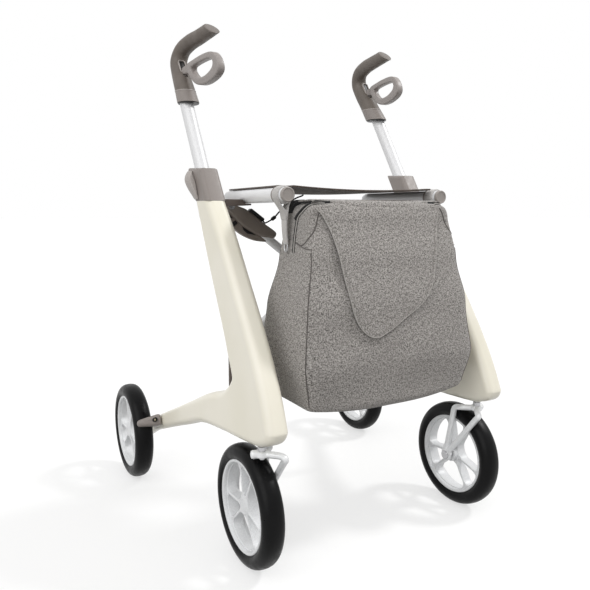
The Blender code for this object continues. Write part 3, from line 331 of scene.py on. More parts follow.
@dataclass(frozen=True)
class Plastic(Finish):
    """Moulded plastic with a fine spark-eroded grain."""

    roughness: float = 0.5
    grain: float = 1500.0
    depth: float = 0.0002

    def dress(self, board: Board) -> None:
        """Grain in colour, gloss and relief, with faint scuffs."""
        vector = board.place(Coords.OBJECT)
        grain = board.noise(vector, self.grain, 3.0)
        dark = tuple(0.78 * value for value in self.colour)
        light = tuple(min(1.0, 1.18 * value) for value in self.colour)
        base = board.mix(board.spread(grain, 0.3, 0.7), dark, light)
        cloud = board.spread(board.noise(vector, 40.0, 3.0), 0.4, 0.7, 0.0, 0.35)
        scuff = board.noise(board.place(Coords.OBJECT, (1.0, 1.0, 0.12)), 260.0, 4.0)
        rough = board.spread(scuff, 0.35, 0.75, self.roughness + 0.06, self.roughness - 0.08)
        board.wire(Base_Color=board.mix(cloud, base, self.colour), Roughness=rough)
        board.bump(grain, 0.35, self.depth)


@dataclass(frozen=True)
class Rubber(Finish):
    """Solid rubber with a matt bloom and a fine pitted skin."""

    bloom: Colour = (0.06, 0.058, 0.055)
    roughness: float = 0.62
    gloss: float = 0.45

    def dress(self, board: Board) -> None:
        """Bloom patches, soft scuffs and pits."""
        vector = board.place(Coords.OBJECT)
        patch = board.spread(board.noise(vector, 22.0, 4.0), 0.4, 0.75, 0.0, 0.8)
        rough = board.spread(board.noise(vector, 75.0, 4.0), 0.3, 0.7, self.roughness - 0.1,
                             self.roughness + 0.1)
        board.wire(Base_Color=board.mix(patch, self.colour, self.bloom), Roughness=rough,
                   Specular_IOR_Level=self.gloss)
        board.bump(board.noise(vector, 1300.0, 3.0), 0.3, 0.00025)


@dataclass(frozen=True)
class Metal(Finish):
    """Metal with drawing lines along one axis."""

    roughness: float = 0.25
    stretch: tuple[float, float, float] = (1.0, 1.0, 0.05)
    lines: float = 900.0
    metallic: float = 1.0

    def dress(self, board: Board) -> None:
        """Drawn lines in gloss and tone, with a faint cloud."""
        lines = board.noise(board.place(Coords.OBJECT, self.stretch), self.lines, 4.0, 0.6)
        cloud = board.noise(board.place(Coords.OBJECT), 35.0, 3.0)
        dark = tuple(0.86 * value for value in self.colour)
        share = board.math("MULTIPLY", board.spread(lines, 0.35, 0.7), 0.6)
        rough = board.math("ADD", board.spread(lines, 0.3, 0.7, self.roughness - 0.04, self.roughness + 0.05),
                           board.spread(cloud, 0.35, 0.7, -0.03, 0.05))
        board.wire(Base_Color=board.mix(share, self.colour, dark), Roughness=rough, Metallic=self.metallic)
        board.bump(lines, 0.06, 0.0001)


@dataclass(frozen=True)
class Melange(Finish):
    """Woven cloth of mixed light and dark yarns, on a UV map in metres."""

    dark: Colour = (0.1, 0.09, 0.085)
    light: Colour = (0.4, 0.39, 0.37)
    pitch: float = 0.0016
    fleck: float = 520.0

    def dress(self, board: Board) -> None:
        """Yarn streaks both ways, flecks, a plain weave's relief and soft sheen."""
        metres = board.place(Coords.UV)
        across = board.noise(board.place(Coords.UV, (0.62, 1.0, 1.0)), self.fleck, 3.0, 0.62)
        along = board.noise(board.place(Coords.UV, (1.0, 0.62, 1.0), (0.37, 0.11, 0)), self.fleck, 3.0,
                            0.62)
        warp = board.waves(metres, self.pitch, 0)
        weft = board.waves(metres, self.pitch, 1)
        over = board.spread(board.math("MULTIPLY", warp, weft), -0.6, 0.6)
        yarn = board.math("ADD", board.math("MULTIPLY", across, over),
                          board.math("MULTIPLY", along, board.math("SUBTRACT", 1.0, over)))
        clump = board.noise(metres, self.fleck * 0.3, 4.0)
        mixed = board.math("ADD", board.math("MULTIPLY", yarn, 0.82), board.math("MULTIPLY", clump, 0.18))
        base = board.mix(board.spread(mixed, 0.415, 0.585), self.dark, self.light)
        cloud = board.spread(board.noise(metres, 26.0, 4.0), 0.3, 0.7, 0.0, 0.25)
        board.wire(Base_Color=board.mix(cloud, base, self.colour), Roughness=0.92, Specular_IOR_Level=0.25,
                   Sheen_Weight=0.25, Sheen_Roughness=0.5)
        board.bump(over, 0.35, 0.0004)
        board.bump(yarn, 0.4, 0.0006)


@dataclass(frozen=True)
class Webbing(Finish):
    """Narrow ribbed weave on object coordinates."""

    dark: Colour = (0.2, 0.2, 0.19)
    pitch: float = 0.0011

    def dress(self, board: Board) -> None:
        """Ribs across, fine yarn noise and a matt skin."""
        metres = board.place(Coords.OBJECT)
        ribs = board.math("MULTIPLY", board.waves(metres, self.pitch, 1), board.waves(metres, self.pitch, 2))
        height = board.spread(ribs, -0.7, 0.7)
        hair = board.noise(board.place(Coords.OBJECT, (1.0, 1.0, 0.3)), 1400.0, 3.0)
        share = board.math("MULTIPLY", height, board.spread(hair, 0.25, 0.7, 0.3))
        board.wire(Base_Color=board.mix(share, self.dark, self.colour), Roughness=0.88,
                   Specular_IOR_Level=0.25, Sheen_Weight=0.15, Sheen_Roughness=0.5)
        board.bump(height, 0.5, 0.0003)


SHELL = Lacquer("lacquered_shell", tone(241, 236, 222), shade=tone(234, 229, 212))
TAUPE = Plastic("taupe_plastic", tone(138, 130, 125), roughness=0.46)
LEVER = Plastic("finger_lever_plastic", tone(152, 145, 141), roughness=0.42)
# Taupe plastic made lighter for the forward-facing rail end discs: painted light.
DISC_LIGHTENED = Plastic("end_disc_lightened_plastic", tone(158, 151, 146), roughness=0.42)
# Dark plastic of the brace leaves, made lighter to offset the shade that falls on them: painted light.
LEAF_LIGHTENED = Plastic("brace_leaf_lightened_plastic", tone(142, 132, 124), roughness=0.46)
TAUPE_LIGHT = Plastic("pale_taupe_plastic", tone(168, 161, 156), roughness=0.42)
CAP = Plastic("grip_cap_plastic", tone(114, 106, 100), roughness=0.45)
DARK_TAUPE = Plastic("dark_taupe_plastic", tone(84, 74, 68), roughness=0.48)
BLACK = Plastic("black_plastic", tone(34, 33, 33), roughness=0.45)
GRIP = Rubber("grip_rubber", tone(98, 90, 83), bloom=tone(112, 103, 95), roughness=0.52)
TYRE = Rubber("tyre_rubber", tone(9, 9, 10), bloom=tone(16, 16, 17), roughness=0.36, gloss=0.12)
RIM = Plastic("rim_nylon", tone(226, 227, 228), roughness=0.36, grain=900.0, depth=0.0001)
TUBE = Metal("satin_tube", tone(226, 226, 227), roughness=0.42, metallic=0.15)
RAIL = Metal("drawn_rail", tone(240, 240, 241), roughness=0.42, stretch=(1.0, 0.05, 1.0), metallic=0.12)
FORK = Metal("polished_fork", tone(240, 241, 242), roughness=0.34, stretch=(1.0, 1.0, 1.0), lines=320.0,
             metallic=0.15)
STEEL = Metal("turned_steel", tone(186, 186, 188), roughness=0.28, stretch=(1.0, 1.0, 1.0))
BRASS = Metal("screw_brass", tone(196, 184, 160), roughness=0.3, stretch=(1.0, 1.0, 1.0))
BAG_CLOTH = Melange("bag_melange", tone(136, 131, 127), dark=tone(74, 70, 67), light=tone(198, 193, 188),
                    fleck=560.0)
SEAT_CLOTH = Melange("seat_mesh", tone(80, 69, 62), dark=tone(52, 44, 40), light=tone(100, 88, 80),
                     pitch=0.0022, fleck=900.0)
# Black lining cloth; on the mouth plates and the crest strip its black also paints the shade inside the open
# mouth.
LINING = Webbing("bag_lining", tone(30, 30, 31), dark=tone(18, 18, 19), pitch=0.0007)
STRAP = Webbing("pale_webbing", tone(222, 219, 216), dark=tone(180, 177, 174))
BINDING = Webbing("seam_binding", tone(196, 192, 187), dark=tone(160, 156, 151), pitch=0.0009)
# Dark grey for the bag's seams and creases: painted shade of the creases.
SEAM_SHADE = Webbing("seam_shadow", tone(110, 105, 101), dark=tone(84, 80, 77), pitch=0.0009)
THREAD = Webbing("stitch_thread", tone(168, 162, 157), dark=tone(120, 115, 111), pitch=0.0005)
CORD = Webbing("braided_cord", tone(36, 35, 35), dark=tone(18, 18, 18), pitch=0.0009)


def clamp(value: float) -> float:
    """A value held between 0 and 1."""
    return min(max(value, 0.0), 1.0)


def mm(*points: Spot) -> list[tuple[float, ...]]:
    """Points written in millimetres, as metres."""
    return [tuple(value / 1000 for value in point) for point in points]


def catmull(points: Iterable[Spot], steps: int, closed: bool = False) -> list[Vector]:
    """Smooth run through points.

    Args:
        points: the points passed through.
        steps: new points per span.
        closed: whether the run returns to its start.

    Returns:
        The dense run.
    """
    knots = [Vector(point) for point in points]
    if closed:
        padded = [knots[-1], *knots, knots[0], knots[1]]
    else:
        padded = [2 * knots[0] - knots[1], *knots, 2 * knots[-1] - knots[-2]]
    run = []
    for i in range(1, len(padded) - 2):
        before, start, end, after = padded[i - 1:i + 3]
        for step in range(steps):
            t = step / steps
            run.append(0.5 * (2 * start + (end - before) * t
                              + (2 * before - 5 * start + 4 * end - after) * t ** 2
                              + (3 * start - before - 3 * end + after) * t ** 3))
    return run if closed else [*run, knots[-1]]


def arc(centre: Spot, radius: float, first: float, last: float, steps: int) -> list[Vector]:
    """Points on an arc in a plane.

    Args:
        centre: its middle.
        radius: metres.
        first, last: angles in degrees.
        steps: spans between the points.

    Returns:
        The points, both ends included.
    """
    turns = [math.radians(first + (last - first) * i / steps) for i in range(steps + 1)]
    return [Vector((centre[0] + radius * math.cos(a), centre[1] + radius * math.sin(a))) for a in turns]


def rounded(corners: Sequence[Flat], radius: float, steps: int) -> list[Vector]:
    """Closed outline with its corners turned into arcs.

    Args:
        corners: corner points in a plane.
        radius: arc radius, shortened where an edge is too short for it.
        steps: spans of each arc.

    Returns:
        The rounded outline.
    """
    points = [Vector(corner) for corner in corners]
    run: list[Vector] = []
    for before, corner, after in zip(points[-1:] + points, points, points[1:] + points[:1]):
        back, ahead = before - corner, after - corner
        angle = back.angle(ahead)
        if angle > math.radians(174):
            run.append(corner)
            continue
        reach = min(radius / math.tan(angle / 2), 0.45 * back.length, 0.45 * ahead.length)
        start = corner + back.normalized() * reach
        end = corner + ahead.normalized() * reach
        shares = [step / steps for step in range(steps + 1)]
        run += [start * (1 - t) ** 2 + corner * 2 * t * (1 - t) + end * t * t for t in shares]
    return run


def aim(direction: Spot) -> Matrix:
    """Rotation that turns +Z onto a direction."""
    return Vector(direction).to_track_quat("Z", "Y").to_matrix().to_4x4()


YZ_PLANE = Matrix(((0, 0, 1, 0), (1, 0, 0, 0), (0, 1, 0, 0), (0, 0, 0, 1)))
XZ_PLANE = Matrix(((1, 0, 0, 0), (0, 0, -1, 0), (0, 1, 0, 0), (0, 0, 0, 1)))


class Shop:
    """Makes meshes with bmesh operators and flat curves, and hangs them on the frame."""

    @staticmethod
    def mesh(form: Form, turn_out: bool = True) -> Mesh:
        """Turn a bmesh into a mesh.

        Args:
            form: the shape, freed afterwards.
            turn_out: whether its faces are turned outwards.

        Returns:
            The mesh.
        """
        bmesh.ops.remove_doubles(form, verts=form.verts, dist=WELD / 2)
        if turn_out:
            bmesh.ops.recalc_face_normals(form, faces=form.faces)
        return Shop.written(form)

    @staticmethod
    def written(form: Form) -> Mesh:
        """Plain mesh of a form, which is freed."""
        made = bpy.data.meshes.new("shape")
        form.to_mesh(made)
        form.free()
        return made

    @staticmethod
    def opened(*parts: Mesh) -> Form:
        """Form of one or more meshes, their shells kept apart."""
        form = bmesh.new()
        for part in parts:
            form.from_mesh(part)
        return form

    @staticmethod
    def merged(*parts: Mesh) -> Mesh:
        """One mesh of several."""
        return Shop.written(Shop.opened(*parts))

    @staticmethod
    def linked(name: str, data: bpy.types.ID) -> bpy.types.Object:
        """New object in the scene."""
        made = bpy.data.objects.new(name, data)
        bpy.context.scene.collection.objects.link(made)
        return made

    @staticmethod
    def mirrored(mesh: Mesh) -> Mesh:
        """Left-hand copy of a right-hand mesh."""
        copy = mesh.copy()
        copy.transform(Matrix.Diagonal((-1.0, 1.0, 1.0, 1.0)))
        copy.flip_normals()
        return copy

    @staticmethod
    def baked(data: bpy.types.ID, *modifiers: tuple[str, dict[str, object]]) -> Mesh:
        """Mesh of a curve or mesh with modifiers applied.

        Args:
            data: curve or mesh.
            modifiers: type and settings of each modifier.

        Returns:
            The plain mesh, its doubles merged and its faces turned outwards.
        """
        helper = Shop.linked("helper", data)
        for kind, settings in modifiers:
            modifier = helper.modifiers.new(kind.lower(), kind)
            for key, value in settings.items():
                setattr(modifier, key, value)
        depsgraph = bpy.context.evaluated_depsgraph_get()
        depsgraph.update()
        raw = bpy.data.meshes.new_from_object(helper.evaluated_get(depsgraph))
        bpy.data.objects.remove(helper, do_unlink=True)
        return Shop.mesh(Shop.opened(raw))

    @staticmethod
    def cut(mesh: Mesh, tool: Mesh) -> Mesh:
        """A mesh less another one."""
        cutter = Shop.linked("cutter", tool)
        done = Shop.baked(mesh, ("BOOLEAN", {"object": cutter, "operation": "DIFFERENCE", "solver": "EXACT"}))
        bpy.data.objects.remove(cutter, do_unlink=True)
        return done

    @staticmethod
    def sliced(form: Form, point: Spot, normal: Spot, clear: bool = False) -> None:
        """Cut a form's faces along a plane, and clear what lies beyond it where asked."""
        bmesh.ops.bisect_plane(form, geom=[*form.verts, *form.edges, *form.faces], dist=WELD,
                               plane_co=point, plane_no=normal, clear_outer=clear)

    @staticmethod
    def trimmed(mesh: Mesh, point: Spot, normal: Spot) -> Mesh:
        """Cut away what lies beyond a plane, and close the cut."""
        form = Shop.opened(mesh)
        Shop.sliced(form, point, normal, True)
        bmesh.ops.holes_fill(form, edges=[edge for edge in form.edges if edge.is_boundary], sides=0)
        return Shop.mesh(form)

    @staticmethod
    def box(size: Spot, centre: Spot, edge: float, steps: int, turn: Matrix | None = None) -> Mesh:
        """Box with rounded edges.

        Args:
            size: along each axis.
            centre: its middle.
            edge: radius of the edges.
            steps: segments of the rounding.
            turn: rotation about its centre.

        Returns:
            The mesh.
        """
        form = bmesh.new()
        bmesh.ops.create_cube(form, size=1.0, matrix=Matrix.Diagonal((*size, 1.0)))
        bmesh.ops.bevel(form, geom=form.edges[:], offset=edge, segments=steps, profile=0.5,
                        affect="EDGES", material=-1)
        place = Matrix.Translation(centre) @ (turn.to_4x4() if turn is not None else Matrix.Identity(4))
        bmesh.ops.transform(form, matrix=place, verts=form.verts)
        return Shop.mesh(form)

    @staticmethod
    def lathe(profile: Sequence[Flat], start: Spot, direction: Spot, segments: int) -> Mesh:
        """Solid of revolution.

        Args:
            profile: (radius, height) points, a closed ring where all of them are off the axis.
            start: where height is nought.
            direction: along which height runs.
            segments: steps round the axis.

        Returns:
            The mesh.
        """
        form = bmesh.new()
        verts = [form.verts.new((radius, 0.0, height)) for radius, height in profile]
        edges = [form.edges.new(pair) for pair in zip(verts, verts[1:])]
        if min(radius for radius, _ in profile) > WELD:
            edges.append(form.edges.new((verts[-1], verts[0])))
        bmesh.ops.spin(form, geom=verts + edges, cent=(0, 0, 0), axis=(0, 0, 1), angle=2 * math.pi,
                       steps=segments, use_merge=True, use_duplicate=False)
        bmesh.ops.transform(form, matrix=Matrix.Translation(start) @ aim(direction), verts=form.verts)
        return Shop.mesh(form)

    @staticmethod
    def rod(start: Spot, end: Spot, radius: float, sides: int, edge: float = 0.0) -> Mesh:
        """Solid round bar between two points, its ends rounded by edge."""
        length = (Vector(end) - Vector(start)).length
        if edge > 0:
            inner, turns = radius - edge, (0.0, 0.52, 1.05, 1.57)
            profile = [(0.0, 0.0),
                       *[(inner + edge * math.sin(a), edge - edge * math.cos(a)) for a in turns],
                       *[(inner + edge * math.cos(a), length - edge + edge * math.sin(a)) for a in turns],
                       (0.0, length)]
        else:
            profile = [(0.0, 0.0), (radius, 0.0), (radius, length), (0.0, length)]
        return Shop.lathe(profile, start, Vector(end) - Vector(start), sides)

    @staticmethod
    def spline(curve: bpy.types.Curve, points: Sequence[Spot]) -> bpy.types.Spline:
        """Add a run of straight spans to a curve."""
        spline = curve.splines.new("POLY")
        spline.points.add(len(points) - 1)
        for point, place in zip(spline.points, points):
            point.co = (*place, 1.0)
        return spline

    @staticmethod
    def plate(outlines: Sequence[Sequence[Spot]], thickness: float, plane: Matrix, edge: float,
              steps: int, offset: float = 0.0) -> Mesh:
        """Flat piece from closed outlines, with rounded edges.

        Args:
            outlines: outer outline and holes.
            thickness: metres, centred on offset along the plane's normal.
            plane: turns the outline's plane into place.
            edge: radius of the edges.
            steps: how finely they are rounded.
            offset: place along the normal.

        Returns:
            The mesh.
        """
        curve = bpy.data.curves.new("outline", "CURVE")
        curve.dimensions = "2D"
        curve.fill_mode = "BOTH"
        curve.extrude = thickness / 2 - edge
        curve.bevel_depth = edge
        curve.bevel_resolution = steps
        curve.offset = -edge
        for outline in outlines:
            Shop.spline(curve, [(*place, 0.0) for place in outline]).use_cyclic_u = True
        made = Shop.baked(curve)
        made.transform(plane @ Matrix.Translation((0.0, 0.0, offset)))
        return made

    @staticmethod
    def sweep(points: Sequence[Spot], radii: Spot | float, steps: int) -> Mesh:
        """Round bar along points.

        Args:
            points: its centre line.
            radii: one radius, or one for each point.
            steps: how round the section is.

        Returns:
            The mesh, its ends closed.
        """
        radii = [radii] * len(points) if isinstance(radii, float) else radii
        curve = bpy.data.curves.new("path", "CURVE")
        curve.dimensions = "3D"
        curve.bevel_depth = 1.0
        curve.bevel_resolution = steps
        curve.use_fill_caps = True
        curve.twist_mode = "MINIMUM"
        for point, radius in zip(Shop.spline(curve, points).points, radii):
            point.radius = radius
        return Shop.baked(curve)

    @staticmethod
    def moved(mesh: Mesh, shift: Callable[[Vector], Spot]) -> Mesh:
        """The mesh with every vertex put where a function says."""
        for vertex in mesh.vertices:
            vertex.co = shift(vertex.co.copy())
        return mesh

    @staticmethod
    def wrapped(across: int, along: int, place: Callable[[float, float], Spot],
                flat: Callable[[float, float], Flat]) -> Mesh:
        """Closed skin from a grid whose first and last column meet.

        Args:
            across, along: spans each way.
            place: point of a share across and a share along.
            flat: its place on the UV map, in metres.

        Returns:
            The mesh, its faces turned outwards.
        """
        form = bmesh.new()
        bmesh.ops.create_grid(form, x_segments=across, y_segments=along, size=0.5, calc_uvs=True)
        layer = form.loops.layers.uv.verify()
        for loop in (loop for face in form.faces for loop in face.loops):
            loop[layer].uv = flat(loop.vert.co.x + 0.5, loop.vert.co.y + 0.5)
        for vertex in form.verts:
            vertex.co = place(vertex.co.x + 0.5, vertex.co.y + 0.5)
        bmesh.ops.remove_doubles(form, verts=form.verts, dist=WELD)
        return Shop.mesh(form)

    @staticmethod
    def mapped(mesh: Mesh, flat: Callable[[Vector], Flat]) -> Mesh:
        """The mesh with a UV map in metres, from a function of the vertex's place."""
        layer = mesh.uv_layers.new(name="cut") if not mesh.uv_layers else mesh.uv_layers[0]
        for loop in mesh.loops:
            layer.data[loop.index].uv = flat(mesh.vertices[loop.vertex_index].co)
        return mesh

    @staticmethod
    def gridded(mesh: Mesh, axis: int, step: float) -> Mesh:
        """The mesh sliced at even distances along an axis, so that it can bend."""
        form = Shop.opened(mesh)
        low = min(vert.co[axis] for vert in form.verts)
        high = max(vert.co[axis] for vert in form.verts)
        normal = Vector((0, 0, 0))
        normal[axis] = 1.0
        for i in range(1, int((high - low) / step) + 1):
            Shop.sliced(form, normal * (low + i * step), normal)
        return Shop.mesh(form, turn_out=False)

    @staticmethod
    def add(name: str, mesh: Mesh, finish: Finish, rider: str, stands_for: Sequence[str],
            slot: str, crease: float = 35.0) -> bpy.types.Object:
        """Hang a finished piece on a body of the frame.

        Args:
            name: the piece's name.
            mesh: its shape, in place.
            finish: its surface.
            rider: the body that it moves with.
            stands_for: CAD nodes that it takes the place of.
            slot: the record's material slot; not used.
            crease: angle in degrees above which an edge stays sharp.

        Returns:
            The new object.
        """
        mesh.name = name
        mesh.materials.clear()
        mesh.materials.append(finish.material())
        mesh.shade_smooth()
        mesh.set_sharp_from_angle(angle=math.radians(crease))
        piece = Shop.linked(name, mesh)
        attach(piece, rider)
        if stands_for:
            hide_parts(*stands_for)
        return piece

    @staticmethod
    def pair(name: str, mesh: Mesh, finish: Finish, rider: str, stands_for: Sequence[str],
             slot: str, crease: float = 35.0) -> list[bpy.types.Object]:
        """Hang a right-hand piece and its mirror image, with names that take each side's label."""
        meshes = {Side.RIGHT: mesh, Side.LEFT: Shop.mirrored(mesh)}
        return [Shop.add(side.label + name, shape, finish, side.label + rider,
                         [side.label + node for node in stands_for], slot, crease)
                for side, shape in meshes.items()]

    @staticmethod
    def smooth_copy(node: str, finish: Finish, rider: str, slot: str, edge: float) -> None:
        """A CAD node's merged copy with softened edges, in place of the node.

        Args:
            node: the CAD node.
            finish: its surface.
            rider: the body that it moves with.
            slot: the record's material slot.
            edge: width of the softened edges.
        """
        form = Shop.opened(NODES[node].data)
        bmesh.ops.remove_doubles(form, verts=form.verts, dist=WELD)
        bmesh.ops.dissolve_limit(form, angle_limit=math.radians(1.5), verts=form.verts[:],
                                 edges=form.edges[:])
        piece = Shop.add("fine_" + node, Shop.written(form), finish, rider, [node], slot, 32.0)
        bevel = piece.modifiers.new("soft_edges", "BEVEL")
        bevel.width = edge
        bevel.segments = 2
        bevel.limit_method = "ANGLE"
        bevel.angle_limit = math.radians(34)
        bevel.harden_normals = False

    @staticmethod
    def smooth_pairs(rider: str, *rows: tuple[str, Finish, str, float]) -> None:
        """Soft copies of left and right CAD nodes; a row is a node, a finish, a slot and an edge."""
        for side in Side:
            for node, finish, slot, edge in rows:
                Shop.smooth_copy(side.label + node, finish, side.label + rider, slot, edge)


NODES: dict[str, bpy.types.Object] = {}


@dataclass(frozen=True)
class Layout:
    """Sizes and places of the right side that several pieces share; the same as the part's source."""

    wheel_radius: float = 0.1
    tyre_width: float = 0.038
    tyre_height: float = 0.0244
    wheelbase: float = 0.442
    rear_track: float = 0.594
    caster_spacing: float = 0.4534
    caster_trail: float = 0.0486
    foot_clearance: float = 0.0175
    frame_thickness: float = 0.036
    arm_end_thickness: float = 0.024
    arm_end_radius: float = 0.018
    arm_wheel_gap: float = 0.004
    collar_spacing: float = 0.4468
    collar_seat: Flat = (-0.0683, 0.59)
    collar_chord: float = 0.0565
    collar_height: float = 0.0577
    tube_radius: float = 0.0125
    tube_lean: float = math.radians(32.0)
    tube_inward: float = math.radians(0.6)
    tube_offset: float = 0.002
    tube_shown: float = 0.1475
    rail_inset: float = 0.0654
    rail_height: float = 0.598
    rail_radius: float = 0.0118
    brace_out: float = 0.0125
    brace_down: float = 0.017

    @property
    def hub(self) -> Vector:
        """Rear wheel's middle (y, z)."""
        return Vector((self.wheelbase / 2, self.wheel_radius))

    @property
    def pivot_y(self) -> float:
        """Where the caster's stem stands."""
        return -self.wheelbase / 2 - self.caster_trail

    @property
    def pivot_x(self) -> float:
        """Half the distance between the casters' stems."""
        return self.caster_spacing / 2

    @property
    def foot(self) -> Vector:
        """Low end (y, z) of the leg, above the caster's stem."""
        return Vector((self.pivot_y, 2 * self.wheel_radius + self.foot_clearance))

    @property
    def seat(self) -> Vector:
        """Top (y, z) of the leg, where the collar sits."""
        return Vector(self.collar_seat)

    @property
    def rear_x(self) -> float:
        """Half the distance between the rear wheels' middles."""
        return self.rear_track / 2

    @property
    def arm_end_x(self) -> float:
        """Middle of the arm's end beside the rear wheel."""
        return self.rear_x - self.tyre_width / 2 - self.arm_wheel_gap - self.arm_end_thickness / 2

    @property
    def rim_radius(self) -> float:
        """Radius on which the tyre sits."""
        return self.wheel_radius - self.tyre_height

    @property
    def rail_x(self) -> float:
        """Half the distance between the seat rails."""
        return self.collar_spacing / 2 - self.rail_inset

    @property
    def brace_pivot(self) -> Vector:
        """Upper pivot (x, z) of the brace that hangs on the right rail."""
        return Vector((self.rail_x + self.brace_out, self.rail_height - self.brace_down))

    def face(self, sign: int, y: float, z: float) -> float:
        """Outer (+1) or inner (-1) face of the right side frame, as x at a place."""
        half = self.frame_thickness / 2
        corners = (Vector((self.collar_spacing / 2 + sign * half, *self.seat)),
                   Vector((self.pivot_x + sign * half, *self.foot)),
                   Vector((self.arm_end_x + sign * self.arm_end_thickness / 2, *self.hub)))
        normal = (corners[1] - corners[0]).cross(corners[2] - corners[0])
        return corners[0].x - (normal.y * (y - corners[0].y) + normal.z * (z - corners[0].z)) / normal.x

    def middle(self, y: float, z: float) -> float:
        """Middle of the side frame's thickness at a place."""
        return (self.face(1, y, z) + self.face(-1, y, z)) / 2

    def leg(self, share: float, off: float) -> Vector:
        """Point beside the line from foot to collar; off is positive towards the front."""
        run = self.seat - self.foot
        return self.foot + run * share + Vector((-run.y, run.x)).normalized() * off

    def arm(self, share: float, off: float) -> Vector:
        """Point beside the line from foot to hub; off is positive upwards."""
        run = self.hub - self.foot
        return self.foot + run * share + Vector((-run.y, run.x)).normalized() * off

    @property
    def tube_direction(self) -> Vector:
        """Unit direction of the handle tube, upwards."""
        return Vector((-math.sin(self.tube_inward), math.sin(self.tube_lean),
                       math.cos(self.tube_lean))).normalized()

    def on_tube(self, distance: float) -> Vector:
        """Point on the tube's axis, measured upwards from the collar's top."""
        start = Vector((self.middle(*self.seat), self.seat.x + self.tube_offset, self.seat.y))
        return start + self.tube_direction * (self.collar_height / math.cos(self.tube_lean) + distance)

    def bore(self, low: float, high: float, gap: float = GAP) -> Mesh:
        """Room for the handle tube between two places on its axis."""
        return Shop.rod(self.on_tube(low), self.on_tube(high), self.tube_radius + gap, 48)

    def spread(self, mesh: Mesh) -> Mesh:
        """Spread a flat plate centred on x = 0 between the side frame's two faces."""
        def put(co: Vector) -> Vector:
            """One vertex between the faces."""
            share = 0.5 + co.x / self.frame_thickness
            return Vector((self.face(-1, co.y, co.z) * (1 - share) + self.face(1, co.y, co.z) * share,
                           co.y, co.z))
        return Shop.moved(mesh, put)


PLAN = Layout()


@dataclass
class SideFrames:
    """The two hollow-moulded legs with their arms to the rear wheels."""

    edge: float = 0.0125
    rise: float = 0.03
    axle_room: float = 0.0096

    def outline(self) -> list[Vector]:
        """Outline (y, z) of leg and arm, run on above the collar's seat so that it can be cut flat."""
        leg, arm, foot, seat = PLAN.leg, PLAN.arm, PLAN.foot, PLAN.seat
        half = PLAN.collar_chord / 2
        up = Vector((self.rise * math.tan(PLAN.tube_lean), self.rise))
        front = [seat + Vector((-half, 0)) + up, seat + Vector((-half, 0)), leg(0.806, 0.038),
                 leg(0.6, 0.0495), leg(0.344, 0.062), leg(0.165, 0.065), leg(0.03, 0.061),
                 foot + Vector((-0.0499, 0.0265)), foot + Vector((-0.0414, 0.014)),
                 foot + Vector((-0.0204, 0.005)), foot, arm(0.119, 0.0087), arm(0.2135, 0.0163),
                 arm(0.378, 0.0257), arm(0.519, 0.0186), arm(0.687, 0.0091), arm(0.892, -0.0038)]
        top = [arm(0.886, 0.0253), arm(0.737, 0.0391), arm(0.6, 0.0515), arm(0.453, 0.0655),
               arm(0.34, 0.0766), arm(0.258, 0.0816), arm(0.196, 0.0828), leg(0.2554, -0.0452),
               leg(0.268, -0.0299), leg(0.285, -0.0247), leg(0.366, -0.0243), leg(0.45, -0.0231),
               leg(0.678, -0.0254), leg(0.842, -0.0257), seat + Vector((half, 0)),
               seat + Vector((half, 0)) + up]
        return catmull(front, 5) + arc(PLAN.hub, PLAN.arm_end_radius, -105, 78, 20) + catmull(top, 5)

    def shell(self) -> Mesh:
        """The right shell, cut flat at the collar, with the tube's bore and the axle's seat."""
        shell = PLAN.spread(Shop.plate([self.outline()], PLAN.frame_thickness, YZ_PLANE, self.edge, 7))
        shell = Shop.cut(Shop.trimmed(shell, (0, 0, PLAN.seat.y), (0, 0, 1)), PLAN.bore(-0.34, 0.02))
        inner = PLAN.arm_end_x - PLAN.arm_end_thickness / 2 + 0.0012
        return Shop.cut(shell, Shop.rod((inner - 0.03, *PLAN.hub), (inner, *PLAN.hub), self.axle_room, 40))

    def build(self) -> None:
        """Hang both shells, and the cables inside them."""
        for piece in Shop.pair("side_shell", self.shell(), SHELL, "frame", ["side_frame"], "carbon_shell",
                               30):
            weighted = piece.modifiers.new("even_shading", "WEIGHTED_NORMAL")
            weighted.keep_sharp = True
        Shop.smooth_pairs("frame", ("brake_cable", BLACK, "black_plastic", 0.0001),
                          ("rear_axle", STEEL, "steel", SOFT))


